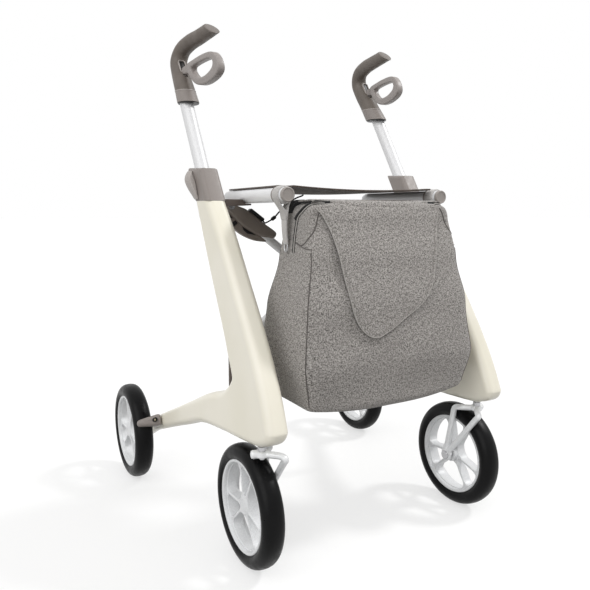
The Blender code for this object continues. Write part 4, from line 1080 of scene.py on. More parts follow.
@dataclass
class Collars:
    """Collar on each leg's top, with the lever that clamps the handle tube."""

    edge: float = 0.0085
    top_chord: float = 0.0575
    lever_width: float = 0.026

    def collar(self) -> Mesh:
        """The right collar with its bore."""
        low, high = PLAN.collar_chord / 2, self.top_chord / 2
        lean = math.tan(PLAN.tube_lean)
        top = PLAN.seat + Vector((PLAN.tube_offset / 2 + PLAN.collar_height * lean - 0.0005,
                                  PLAN.collar_height))
        base = PLAN.seat + Vector((0, GAP))
        drop = Vector((-0.012 * lean, -0.012))
        outline = [base + Vector((-low, 0)) + drop, base + Vector((low, 0)) + drop,
                   top + Vector((high, 0.002)), top + Vector((-high, -0.001))]
        collar = PLAN.spread(Shop.plate([outline], PLAN.frame_thickness, YZ_PLANE, self.edge, 6))
        return Shop.cut(Shop.trimmed(collar, (0, 0, base.y), (0, 0, -1)), PLAN.bore(-0.12, 0.04))

    def hinge(self) -> Vector:
        """Hinge of the right clamp lever."""
        y, z = PLAN.seat.x + 0.031, PLAN.seat.y + 0.0065
        return Vector((PLAN.face(1, y, z) + 0.0045, y, z))

    def lever(self) -> Mesh:
        """The right cam lever, swept onto the collar's face."""
        hinge = self.hinge()
        outline = catmull(mm((0.4, -3.5), (2.2, -3), (4.6, 4), (7.8, 14), (10.1, 25), (10, 33), (7.2, 40),
                             (3, 46), (0.4, 47)), 4)
        lever = Shop.gridded(Shop.plate([outline], self.lever_width, XZ_PLANE, 0.0024, 4), 2, 0.004)
        lean = math.tan(PLAN.tube_lean)

        def put(co: Vector) -> Vector:
            """One vertex, leant with the collar and narrowed towards both ends."""
            share = clamp(co.z / 0.046)
            y = hinge.y + (co.z - 0.023) * lean + co.y * (0.62 + 0.38 * math.sin(math.pi * share))
            return Vector((PLAN.face(1, y, hinge.z + co.z) + co.x, y, hinge.z + co.z))
        return Shop.moved(lever, put)

    def build(self) -> None:
        """Hang collars and levers."""
        Shop.pair("collar_shell", self.collar(), TAUPE, "frame", ["collar"], "taupe_plastic", 30)
        Shop.pair("cam_lever", self.lever(), TAUPE_LIGHT, "clamp_lever", ["clamp_lever"], "taupe_plastic", 30)


@dataclass
class Handles:
    """Handle tubes, their light bases, dark forward grips and finger-loop brake levers."""

    inset: float = 0.0038
    base_height: float = 0.0235
    tip_slant: float = math.radians(36.0)
    grip_radius: float = 0.0195
    lever_width: float = 0.0145
    lever_edge: float = 0.003
    tongue_width: float = 0.008
    tongue_start: float = 0.0195
    tongue_length: float = 0.033
    tongue_shift: float = 0.0035
    lever_splay: float = 0.133
    insert: float = 0.17
    tube_wall: float = 0.0015

    def path(self) -> tuple[list[Vector], list[float]]:
        """Centre line of the right handle from its foot to its forward tip, with radii."""
        start = PLAN.on_tube(PLAN.tube_shown) - Vector((self.inset, 0, 0))
        steps = mm((0.4, -10, -13), (0, 0, 0), (-0.8, 12, 15.5), (-1.5, 27, 36), (-2.8, 48, 62.5),
                   (-4.5, 60.2, 86.2), (-9.1, 50.3, 105.7), (-14.6, 21, 114.6), (-20, -14, 117.4),
                   (-25, -60, 121), (-28.2, -90, 124.3))
        shares = [1.03, 1.02, 0.985, 0.93, 0.86, 0.83, 0.785, 0.74, 0.69, 0.655, 0.645]
        return [start + Vector(step) for step in steps], [self.grip_radius * share for share in shares]

    def pin(self) -> Vector:
        """Pivot of the right brake lever."""
        return self.path()[0][4] + Vector((0.0, -0.008, -0.001))

    def whole(self, proud: float = 0.0) -> Mesh:
        """Base and grip as one bar, fatter by proud, before they are parted."""
        run = catmull([(*centre, radius) for centre, radius in zip(*self.path())], 6)
        return Shop.sweep([point[:3] for point in run], [point[3] + proud for point in run], 14)

    def grip(self, whole: Mesh) -> Mesh:
        """The right grip, cut slantwise at its tip, with the lever's slot."""
        centres, _ = self.path()
        seam = PLAN.on_tube(PLAN.tube_shown) + Vector((0, 0, self.base_height))
        grip = Shop.trimmed(whole.copy(), seam, (0, 0, -1))
        grip = Shop.trimmed(grip, centres[-2], self.tip_normal())
        return Shop.cut(grip, self.slot_tool())

    def tip_normal(self) -> Vector:
        """Direction that the slanted tip faces."""
        return Vector((0, -math.sin(self.tip_slant), math.cos(self.tip_slant)))

    def slot_tool(self) -> Mesh:
        """Room for the lever's tongue in the right grip."""
        return Shop.box((self.tongue_width + 0.0012, 0.04, 0.022), self.pin() + Vector((0, -0.013, 0)),
                        0.0022, 3)

    def tip_cap(self) -> Mesh:
        """Soft-edged end cap let into the slanted tip."""
        centres, radii = self.path()
        cap = Shop.lathe([(0.0, -0.0015), (0.93, -0.0015), (0.93, 0.0), (0.9, 0.0004), (0.7, 0.0007),
                          (0.0, 0.0009)], (0, 0, 0), (0, 0, 1), 48)
        along = (centres[-1] - centres[-3]).normalized()
        normal = self.tip_normal()
        wide = normal.cross(Vector((1, 0, 0))).normalized()
        reach = radii[-2] / math.sqrt(1 - along.dot(wide) ** 2)

        def put(co: Vector) -> Vector:
            """One vertex of the round cap on the slanted ellipse."""
            return centres[-2] + Vector((co.x * radii[-2], 0, 0)) + wide * co.y * reach + normal * co.z
        return Shop.moved(cap, put)

    def base(self, whole: Mesh) -> Mesh:
        """The right base, bored for the tube."""
        seam = PLAN.on_tube(PLAN.tube_shown) + Vector((0, 0, self.base_height - GAP))
        base = Shop.trimmed(whole.copy(), seam, (0, 0, 1))
        return Shop.cut(base, PLAN.bore(PLAN.tube_shown - 0.03, PLAN.tube_shown + 0.021))

    def seam_ring(self, height: float, tall: float, proud: float) -> Mesh:
        """Thin moulded band round the handle at a height above the base's foot."""
        foot = PLAN.on_tube(PLAN.tube_shown).z + height
        band = Shop.trimmed(self.whole(proud), (0, 0, foot), (0, 0, -1))
        return Shop.trimmed(band, (0, 0, foot + tall), (0, 0, 1))

    def plug(self) -> Mesh:
        """Black ring under the base, round the tube: dark plastic whose black also paints the shade under the
        base.
        """
        return Shop.cut(self.seam_ring(-0.0022, 0.002, -0.0011),
                        PLAN.bore(PLAN.tube_shown - 0.03, PLAN.tube_shown + 0.02, GAP / 2))

    def lever_point(self, forward: float, up: float) -> Vector:
        """Point (y, z) of the lever's side view, measured from its pivot."""
        pin = self.pin()
        return Vector((pin.y - forward, pin.z + up))

    def lever(self) -> Mesh:
        """The right finger-loop lever, bent inward at its root and splayed towards its tip."""
        outer = [self.lever_point(*p) for p in mm(
            (0, 6), (16, 7.5), (30, 9.5), (52, 12.5), (88, 15.8), (122, 14.5), (140, 3.5), (149, -12.5),
            (147, -23.5), (133, -31.5), (108, -36.5), (84, -36), (64, -30), (48, -18), (38, -9), (18, -6),
            (0, -6))]
        inner = [self.lever_point(*p) for p in mm(
            (51, -3), (56, 1.8), (88, 4.6), (118, 3.8), (129, -3.5), (127, -12), (113, -19), (95, -22.5),
            (75, -21.5), (60, -13))]
        outline = catmull(outer, 5) + arc(self.lever_point(0, 0), 0.006, -60, 60, 8)
        loop = Shop.plate([outline, catmull(inner, 5, closed=True)], self.lever_width, YZ_PLANE,
                          self.lever_edge, 3)
        form, pin = Shop.opened(loop), self.pin()
        for cut in (0.01, self.tongue_start, 0.026, self.tongue_length, 0.04):
            Shop.sliced(form, (0, pin.y - cut, 0), (0, 1, 0))

        def put(co: Vector) -> Vector:
            """One vertex, thinned at the tongue and shifted sideways."""
            forward = pin.y - co.y
            bend = clamp((forward - self.tongue_start) / (self.tongue_length - self.tongue_start))
            thin = self.tongue_width / self.lever_width
            wide = thin + (1 - thin) * clamp((forward - 0.028) / 0.01)
            shift = pin.x - self.tongue_shift * bend - self.lever_splay * max(0, forward - self.tongue_length)
            return Vector((co.x * wide + shift, co.y, co.z))
        root = Shop.box((0.0092, 0.011, 0.014), pin + Vector((0, -0.012, -0.0035)), 0.002, 3)
        return Shop.merged(Shop.moved(Shop.mesh(form, turn_out=False), put), root)

    def recess(self, fill: bool) -> Mesh:
        """Moulded rim round the lever's slot in the right grip, or a black plate in the slot that paints the
        shade of its depth.
        """
        outer, inner = (rounded([(w, h), (-w, h), (-w, -h), (w, -h)], 0.0042, 6)
                        for w, h in ((0.0068, 0.015), (0.0054, 0.0136)))
        plate = Shop.plate([inner], 0.003, XZ_PLANE, 0.0002, 1) if fill else Shop.plate(
            [outer, inner], 0.006, XZ_PLANE, 0.0005, 2)
        lean = Matrix.Rotation(-math.radians(33), 4, "X")
        centre = self.path()[0][4] + Vector((0, -0.0128 if fill else -0.0134, 0.0085 if fill else 0.009))
        plate.transform(Matrix.Translation(centre) @ lean)
        return plate

    def build(self) -> None:
        """Hang tubes, bases, grips, end caps, bands, levers and pins."""
        low, top = PLAN.on_tube(-self.insert), PLAN.on_tube(PLAN.tube_shown + 0.02)
        inner, length = PLAN.tube_radius - self.tube_wall, (top - low).length
        tube = Shop.lathe([(inner, 0), (PLAN.tube_radius, 0), (PLAN.tube_radius, length), (inner, length)],
                          low, PLAN.tube_direction, 64)
        Shop.pair("telescopic_tube", tube, TUBE, "handle", ["handle_tube"], "silver_tube")
        whole = Shop.trimmed(self.whole(), PLAN.on_tube(PLAN.tube_shown), (0, 0, -1))
        Shop.pair("grip_sleeve", self.grip(whole), GRIP, "handle", ["hand_grip"], "grip_rubber", 40)
        Shop.pair("grip_end_cap", self.tip_cap(), CAP, "handle", [], "taupe_plastic", 40)
        Shop.pair("slot_rim", self.recess(False), TAUPE_LIGHT, "handle", [], "taupe_plastic")
        # Black plate in the slot: painted shade of its depth.
        Shop.pair("slot_shade_floor", self.recess(True), BLACK, "handle", [], "taupe_plastic")
        # Black ring under the base: dark plastic, and painted shade of the underside.
        Shop.pair("base_underside_shade", self.plug(), BLACK, "handle", [], "taupe_plastic")
        Shop.pair("base_shell", self.base(whole), TAUPE, "handle", ["handle_base"], "taupe_plastic", 40)
        Shop.pair("seam_band", self.seam_ring(self.base_height - 0.0009, 0.0016, 0.0004), TAUPE_LIGHT,
                  "handle", [], "taupe_plastic", 40)
        Shop.pair("finger_lever", self.lever(), LEVER, "brake_lever", ["brake_lever"], "taupe_plastic", 30)
        Shop.smooth_pairs("handle", ("lever_pin", STEEL, "steel", SOFT / 2))


@dataclass
class Wheels:
    """Four equal wheels: a spoked centre of white nylon and a solid tyre."""

    hub_radius: float = 0.015
    hub_inner: float = 0.018
    hub_outer: float = 0.0105
    pairs: int = 3
    spread: float = 20.0
    phase: float = 97.0
    blade: float = 0.0046
    web: float = 0.019

    def tyre(self) -> Mesh:
        """Tyre round X at the origin."""
        half, rim, tall = PLAN.tyre_width / 2, PLAN.rim_radius, PLAN.tyre_height
        side = [(0.0, 0.79), (0.045, 0.845), (0.1, 0.865), (0.13, 0.915), (0.3, 0.995), (0.48, 0.985),
                (0.65, 0.9), (0.8, 0.765), (0.92, 0.55), (0.98, 0.28), (1.0, 0.0)]
        run = catmull([(rim + rise * tall, wide * half) for rise, wide in side], 3)
        profile = [(p.x, -p.y) for p in run] + [(p.x, p.y) for p in run[-2::-1]]
        return Shop.lathe(profile, (0, 0, 0), (1, 0, 0), 96)

    def ring(self) -> Mesh:
        """Rim ring with a rounded lip on each side."""
        side = mm((75.2, 0), (75.2, 13.8), (75.5, 15), (74.6, 15.8), (72.8, 15.9), (71.3, 15.2),
                  (70.4, 13.8), (69.8, 10.5), (69.4, 4), (69.3, 0))
        lift = PLAN.rim_radius - 0.0756
        profile = [(r + lift, x) for r, x in side] + [(r + lift, -x) for r, x in side[-2:0:-1]]
        return Shop.lathe(profile, (0, 0, 0), (1, 0, 0), 96)

    def window(self, first: float, last: float) -> list[Vector]:
        """Petal-shaped window between two blades.

        Args:
            first, last: angles in degrees at which the blades' middles lie.

        Returns:
            Its outline.
        """
        half = self.blade / 2

        def along(angle: float, sign: int, radius: float) -> Vector:
            """Point on a blade's flank."""
            turn = math.radians(angle) + sign * math.asin(half / radius)
            return Vector((radius * math.cos(turn), radius * math.sin(turn)))

        def rim(angle: float, radius: float) -> Vector:
            """Point at an angle and radius."""
            return Vector((radius * math.cos(math.radians(angle)), radius * math.sin(math.radians(angle))))
        wide, outer = last - first, PLAN.rim_radius - 0.0072
        large = wide > 60
        lead = 7.5 if large else 6.6
        top, foot = ((0.25, 0.5, 0.75), (0.7, 0.3)) if large else ((0.5,), (0.5,))
        flank = (0.024, 0.036, 0.048, 0.0585)
        run = [*[along(first, 1, radius) for radius in flank], rim(first + lead, outer - 0.0012),
               *[rim(first + wide * share, outer) for share in top], rim(last - lead, outer - 0.0012),
               *[along(last, -1, radius) for radius in flank[::-1]],
               *[rim(first + wide * share, self.hub_radius + 0.002) for share in foot]]
        return catmull(run, 5, closed=True)

    def spokes(self) -> Mesh:
        """Spoke web: a thick disc with six windows."""
        angles = sorted((self.phase + 360 / self.pairs * i + sign * self.spread) % 360
                        for i in range(self.pairs) for sign in (-1, 1))
        windows = [self.window(start, end if end > start else end + 360)
                   for start, end in zip(angles, angles[1:] + angles[:1])]
        disc = arc((0, 0), PLAN.rim_radius - 0.0045, 0, 360, 120)[:-1]
        return Shop.plate([disc, *windows], self.web, YZ_PLANE, 0.0011, 2)

    def hub(self) -> Mesh:
        """Hub with a closed, softly domed outer cap and a longer inner boss."""
        r, out, inn = self.hub_radius, self.hub_outer, self.hub_inner
        profile = [(0.0, -inn + 0.0015), (0.0095, -inn + 0.0015), (0.01, -inn), (r - 0.0012, -inn),
                   (r, -inn + 0.0012), (r, out - 0.0016), (r - 0.0006, out - 0.0005), (r - 0.0018, out),
                   (r - 0.0028, out + 0.0001), (r - 0.0032, out - 0.0004), (r - 0.0038, out - 0.0004),
                   (r - 0.0042, out + 0.0001), (0.0, out + 0.0004)]
        return Shop.lathe(profile, (0, 0, 0), (1, 0, 0), 64)

    def build(self) -> None:
        """Hang the four wheels."""
        centre = Shop.merged(self.ring(), self.spokes(), self.hub())
        tyre = self.tyre()
        places = {"caster": Vector((PLAN.pivot_x, -PLAN.wheelbase / 2, PLAN.wheel_radius)),
                  "rear": Vector((PLAN.rear_x, *PLAN.hub))}
        for name, place in places.items():
            for part, mesh, finish, slot in (("rim", centre, RIM, "white_rim"),
                                             ("tyre", tyre, TYRE, "tyre_rubber")):
                copy = mesh.copy()
                copy.transform(Matrix.Translation(place))
                Shop.pair(f"{name}_{part}_turned", copy, finish, name + "_wheel", [f"{name}_{part}"],
                          slot)


@dataclass
class CasterForks:
    """Swivel stems and the polished one-sided forks on the wheels' inner side."""

    top_clearance: float = 0.0045
    gap_to_tyre: float = 0.0025
    thickness: float = 0.007
    bar: float = 0.0055
    lift: float = 0.0045
    stem: float = 0.0068
    neck: float = 0.005

    def inner(self) -> float:
        """Middle of the fork's plane beside the wheel."""
        return PLAN.pivot_x - PLAN.tyre_width / 2 - self.gap_to_tyre - self.thickness / 2

    def top(self) -> float:
        """Height of the fork's upper face."""
        return PLAN.foot.y - self.top_clearance - 0.0085

    def bars(self) -> Mesh:
        """Front and rear bar, head, knob and foot of the right fork."""
        x, z, y, wide = self.inner(), self.top() - self.bar + self.lift, PLAN.pivot_y, PLAN.pivot_x
        axle = Vector((x, -PLAN.wheelbase / 2, PLAN.wheel_radius))
        bend, end = Vector((x, y - 0.029, z - 0.0045)), axle + Vector((0, -0.004, 0.006))
        lead = [(wide + 0.01, y + 0.003, z), (wide, y - 0.003, z), (wide - 0.012, y - 0.013, z),
                (x + 0.004, y - 0.023, z - 0.0005), bend, bend.lerp(end, 0.12), bend.lerp(end, 0.5), end]
        trail = [(wide + 0.002, y + 0.002, z), (wide - 0.01, y + 0.008, z), (x + 0.003, y + 0.018, z),
                 (x, y + 0.0285, z - 0.0025), (x, y + 0.0335, z - 0.0095), (x, y + 0.037, z - 0.03),
                 axle + Vector((0, 0.002, 0.006))]
        head = Shop.lathe(mm((0, -6.2), (9, -6.2), (10.6, -4.8), (11, 0), (10.6, 2.8), (9, 4), (0, 4)),
                          (wide, y, self.top() - 0.004 + self.lift), (0, 0, 1), 48)
        knob = Shop.lathe(mm((0, -6), (5.6, -6), (6.6, -5), (6.8, 3), (5.8, 5.2), (3, 6.4), (0, 6.6)),
                          (wide + 0.011, y + 0.003, z), (1, 0.2, 0), 40)
        foot = rounded([(axle.y - 0.0125, axle.z + 0.004), (axle.y - 0.0085, axle.z - 0.01),
                        (axle.y + 0.0085, axle.z - 0.01), (axle.y + 0.0125, axle.z + 0.004),
                        (axle.y + 0.004, axle.z + 0.024), (axle.y - 0.004, axle.z + 0.024)], 0.0062, 6)
        boss = Shop.plate([foot], self.thickness, YZ_PLANE, 0.0022, 4, x)
        return Shop.merged(Shop.sweep(catmull(lead, 8), self.bar, 8),
                           Shop.sweep(catmull(trail, 8), self.bar, 8), head, knob, boss)

    def build(self) -> None:
        """Hang forks, stems, axles and their screw heads."""
        Shop.pair("swivel_fork", self.bars(), FORK, "caster", ["caster_fork"], "polished_fork", 40)
        top, foot, wide = self.top(), PLAN.foot.y, self.stem + 0.001
        profile = [(0.0, top - 0.0095), (0.004, top - 0.0095), (0.004, top), (wide, top + 0.0004),
                   (wide, top + 0.0022), (self.stem, top + 0.003), (self.stem, foot - 0.0022),
                   (self.stem - 0.0008, foot - 0.0014), (self.neck, foot - 0.0014),
                   (self.neck, foot + 0.04), (0.0, foot + 0.04)]
        stem = Shop.lathe(profile, (PLAN.pivot_x, PLAN.pivot_y, 0), (0, 0, 1), 40)
        Shop.pair("swivel_stem", stem, STEEL, "caster", ["caster_stem"], "steel")
        Shop.smooth_pairs("caster", ("caster_axle", STEEL, "steel", SOFT))


@dataclass
class BrakeShoes:
    """Blade-shaped shoes that press on the rear tyres' treads."""

    width: float = 0.045
    height: float = 0.025
    depth: float = 0.026
    clearance: float = 0.0025
    angle: float = math.radians(155.0)
    hole: float = 0.0046
    sink: float = 0.006
    edge: float = 0.0062
    tip_height: float = 0.5
    tip_depth: float = 0.45
    screw_out: float = 0.014

    def centre(self) -> Vector:
        """Middle of the right shoe's face towards the tyre."""
        reach = PLAN.wheel_radius + self.clearance
        y = PLAN.hub.x + reach * math.cos(self.angle)
        z = PLAN.hub.y + reach * math.sin(self.angle)
        return Vector((PLAN.face(1, y, z), y, z))

    def shoe(self) -> Mesh:
        """The right shoe: a rounded block that tapers outwards, hollowed by the tyre's sweep."""
        face, (mouth, slide) = self.centre(), self.screw()
        turn = Matrix.Rotation(math.pi - self.angle, 4, "X").inverted()
        centre = Vector((face.x + 0.0008 + self.width / 2, *(face - slide * self.depth / 2)[1:]))
        form = bmesh.new()
        bmesh.ops.create_cube(form, size=1.0, matrix=Matrix.Diagonal((self.width, self.depth + 0.006,
                                                                      self.height, 1.0)))
        for vertex in form.verts:
            if vertex.co.x > 0:
                vertex.co.z *= self.tip_height
                vertex.co.y = self.tip_depth * (vertex.co.y - self.depth / 2) + self.depth / 2
        bmesh.ops.bevel(form, geom=form.edges[:], offset=self.edge, segments=5, profile=0.5,
                        affect="EDGES", material=-1)
        place = Matrix.Translation(centre + slide * 0.003) @ turn
        bmesh.ops.transform(form, matrix=place, verts=form.verts)
        sweep = Shop.rod((0.1, *PLAN.hub), (0.5, *PLAN.hub), PLAN.wheel_radius + self.clearance, 160)
        return Shop.cut(Shop.cut(Shop.mesh(form), sweep),
                        Shop.rod(mouth - slide * 0.02, mouth + slide * self.sink, self.hole, 40))

    def screw(self) -> tuple[Vector, Vector]:
        """Mouth of the right screw's recess and the way that it goes in."""
        way = Vector((0, -math.cos(self.angle), -math.sin(self.angle)))
        face = self.centre() - way * self.depth
        return Vector((face.x + self.screw_out, face.y, face.z + 0.0005)), way

    def build(self) -> None:
        """Hang the shoes with their recessed screws, each recess lined with a black cup as painted shade."""
        Shop.pair("shoe_blade", self.shoe(), TAUPE, "brake_shoe", ["brake_shoe"], "taupe_plastic", 35)
        mouth, way = self.screw()
        # Black cup in the screw's recess: painted shade of the recess.
        wide, inner, floor = self.hole - 0.0001, self.hole - 0.0006, self.sink - 0.0004
        cup = Shop.lathe([(wide, -0.0006), (inner, -0.0002), (inner, floor), (0.0, floor),
                          (0.0, self.sink - 0.0001), (wide, self.sink - 0.0001)], mouth, way, 40)
        Shop.pair("screw_recess_shade", cup, BLACK, "brake_shoe", [], "taupe_plastic")
        head = Shop.lathe(mm((0, -2.2), (1, -2.2), (1, -3.4), (2, -3.4), (2.7, -2.6), (2.7, -0.4), (0, -0.4)),
                          mouth + way * self.sink, way, 24)
        Shop.pair("shoe_screw", head, BRASS, "brake_shoe", [], "steel")


@dataclass
class SeatRails:
    """Seat rails with end caps, hanger rings and the cradles that they rest in."""

    front: float = -0.2245
    rear: float = -0.002
    wall: float = 0.002
    cap: float = 0.006
    strap_y: float = -0.21
    strap_width: float = 0.018
    ring_wall: float = 0.0024
    strap_drop: float = 0.066
    cradle_y: float = -0.079
    hook_x: float = 0.1515
    lugs: tuple[Flat, ...] = ((-1, -0.0132), (1, -0.0372))

    def tube(self) -> Mesh:
        """The right rail's tube."""
        inner, length = PLAN.rail_radius - self.wall, self.rear - self.front
        return Shop.lathe([(inner, 0), (PLAN.rail_radius, 0), (PLAN.rail_radius, length), (inner, length)],
                          (PLAN.rail_x, self.front, PLAN.rail_height), (0, 1, 0), 64)

    def end_cap(self) -> Mesh:
        """Disc in the rail's front end, with a soft rim and a shallow dish."""
        r = PLAN.rail_radius
        profile = [(0.0, 0.0012), (r - 0.003, 0.001), (r - 0.0024, 0.0002), (r - 0.0014, 0.0),
                   (r - 0.0004, 0.0005), (r, 0.0014), (r, self.cap), (0.0, self.cap)]
        return Shop.lathe(profile, (PLAN.rail_x, self.front - GAP - self.cap, PLAN.rail_height), (0, 1, 0),
                          64)

    def ring(self, start: float, wide: float, wall: float) -> Mesh:
        """Ring round the right rail.

        Args:
            start: its front y.
            wide: metres along the rail.
            wall: its thickness.

        Returns:
            The mesh.
        """
        inner = PLAN.rail_radius + GAP
        outer = inner + wall
        soft = min(0.0007, wall / 3)
        profile = [(inner, 0), (outer - soft, 0), (outer, soft), (outer, wide - soft), (outer - soft, wide),
                   (inner, wide)]
        return Shop.lathe(profile, (PLAN.rail_x, start, PLAN.rail_height), (0, 1, 0), 64)

    def lug(self, side: int, y: float) -> Mesh:
        """Welded lug of a rail, for the brace's upper pivot."""
        rail = Vector((side * PLAN.rail_x, PLAN.rail_height))
        pivot = Vector((side * PLAN.brace_pivot.x, PLAN.brace_pivot.y))
        toward = (rail - pivot).normalized()
        normal = Vector((-toward.y, toward.x))
        top, low = rail - toward * (PLAN.rail_radius - 0.001), pivot - toward * 0.0075
        outline = rounded([low + normal * 0.0074, low - normal * 0.0074, top - normal * 0.0052,
                           top + normal * 0.0052], 0.006, 5)
        return Shop.plate([outline], 0.0074, XZ_PLANE, 0.0008, 2, -y)

    def cradle(self) -> Mesh:
        """Saddle on the right leg's inner face, under the rail."""
        under, high = PLAN.rail_height - PLAN.rail_radius - GAP, PLAN.rail_height - 0.005
        wall = PLAN.rail_x + PLAN.rail_radius + 0.0008
        far = PLAN.face(-1, self.cradle_y, PLAN.rail_height) + 0.004
        outline = [Vector(p) for p in (
            (PLAN.rail_x - 0.003, under - 0.0002), (wall - 0.004, under - 0.0002), (wall, under + 0.004),
            (wall, high - 0.001), (wall + 0.001, high), (far, high), (far, under - 0.0045),
            (wall, under - 0.004), (PLAN.rail_x - 0.003, under - 0.003))]
        return Shop.plate([outline], 0.022, XZ_PLANE, 0.0007, 2, -self.cradle_y)

    def strap(self) -> Mesh:
        """Right hanger strap, narrowing downwards, on a grid so that it bows a little."""
        patch = 0.0262
        top = PLAN.rail_height - PLAN.rail_radius - GAP - patch

        def put(co: Vector) -> Vector:
            """One vertex of the strap."""
            low = 0.5 - co.z
            wide = (self.strap_width - 2 * GAP) * (0.9 - 0.16 * low)
            bow = 0.001 * math.sin(math.pi * low)
            first = PLAN.rail_x - 0.0036
            return Vector((first + (self.hook_x - first) * low + bow + co.x * 0.0024,
                           self.strap_y + co.y * wide, top - low * (self.strap_drop - patch)))
        form = bmesh.new()
        bmesh.ops.create_cube(form, size=1.0)
        bmesh.ops.subdivide_edges(form, edges=form.edges[:], cuts=9, use_grid_fill=True)
        return Shop.moved(Shop.mesh(form), put)

    def strap_loop(self) -> Mesh:
        """Webbing that comes down from both sides of the right ring to the stitched patch."""
        outer = mm((12.8, -6), (10.5, -11.8), (6, -18), (1.2, -24.5), (-2, -39.5), (-5.2, -39.5),
                   (-7, -24.5), (-7.8, -18), (-10.5, -11.8), (-12.8, -6))
        inner = mm((9.6, -10.4), (3.8, -18), (-1.4, -23.6), (-4.6, -23.6), (-5.5, -18), (-8.6, -12))
        place = Matrix.Translation((PLAN.rail_x, 0, PLAN.rail_height)) @ XZ_PLANE
        return Shop.plate([outer, inner], self.strap_width * 0.94, place, 0.0004, 1, -self.strap_y)

    def snap_hook(self) -> Mesh:
        """Metal snap hook at the right strap's foot: a swivel eye and a bent loop."""
        low = PLAN.rail_height - PLAN.rail_radius - GAP - self.strap_drop
        x, y = self.hook_x, self.strap_y
        bar = Shop.rod((x, y - 0.0062, low + 0.0015), (x, y + 0.0062, low + 0.0015), 0.0016, 16, 0.0005)
        loop = catmull([(x, y - 0.005, low), (x, y - 0.0052, low - 0.006), (x, y - 0.0028, low - 0.0115),
                        (x, y + 0.0015, low - 0.012), (x, y + 0.0042, low - 0.008),
                        (x, y + 0.004, low - 0.001)], 5)
        return Shop.merged(bar, Shop.sweep(loop, 0.0013, 3))

    def build(self) -> None:
        """Hang rails, lugs, caps, rings, straps, hooks, bolts and cradles."""
        Shop.pair("rail_tube", self.tube(), RAIL, "rail", ["seat_rail"], "silver_tube")
        for sign, y in self.lugs:
            side = Side(sign)
            Shop.add(side.label + "rail_lug", self.lug(sign, y), RAIL, side.label + "rail", [], "silver_tube")
        # The end discs take the lightened taupe: painted light.
        Shop.pair("rail_end_disc", self.end_cap(), DISC_LIGHTENED, "rail", ["rail_cap"], "taupe_plastic")
        start = self.strap_y - self.strap_width / 2
        Shop.pair("hanger_ring", self.ring(start, self.strap_width, self.ring_wall), STRAP, "rail",
                  ["bag_strap"], "strap_fabric")
        Shop.pair("rail_collar_ring", self.ring(start + self.strap_width + 0.0006, 0.005, 0.0016), TAUPE,
                  "rail", [], "taupe_plastic")
        Shop.pair("hanger_strap", self.strap(), STRAP, "rail", [], "strap_fabric")
        Shop.pair("strap_loop", self.strap_loop(), STRAP, "rail", [], "strap_fabric")
        Shop.pair("snap_hook", self.snap_hook(), STEEL, "rail", [], "steel")
        Shop.pair("rail_saddle", self.cradle(), DARK_TAUPE, "frame", ["rail_cradle"], "taupe_plastic", 30)
        Shop.smooth_pairs("rail", ("upper_pivot_bolt", STEEL, "steel", 0.0005))


LEAF = mm((9, 3), (20, -0.5), (35, -7), (70, -32), (90, -44), (94.5, -50), (90, -57), (74, -66),
          (56, -65.5), (31, -54), (8, -30))
BAR = mm((9, 3), (20, -0.5), (35, -7), (70, -32), (88.5, -44), (94, -50), (91.5, -57.2), (83, -59.8),
         (60, -55), (40, -45.5), (21, -33.5), (6, -19.5), (-4, -8.5))
FIN = mm((6, -8), (-4.5, -11), (-3.5, -23), (4, -37), (24, -52.2), (48, -62.5), (69, -66), (73.5, -65),
         (73, -60.5), (66, -50), (35, -30))
POCKETS = (mm((-2, -12.5), (4.5, -20), (-1, -23.2)),
           mm((3, -29), (10.5, -24), (16.2, -30), (7, -36.8)),
           mm((23.5, -35.5), (54, -53.5), (33.5, -49.5), (26, -43)))
RIBS = (mm((-3, -26.2), (6.5, -20.5)), mm((15, -26.5), (20.5, -37.4), (30, -50.5), (46, -53)))


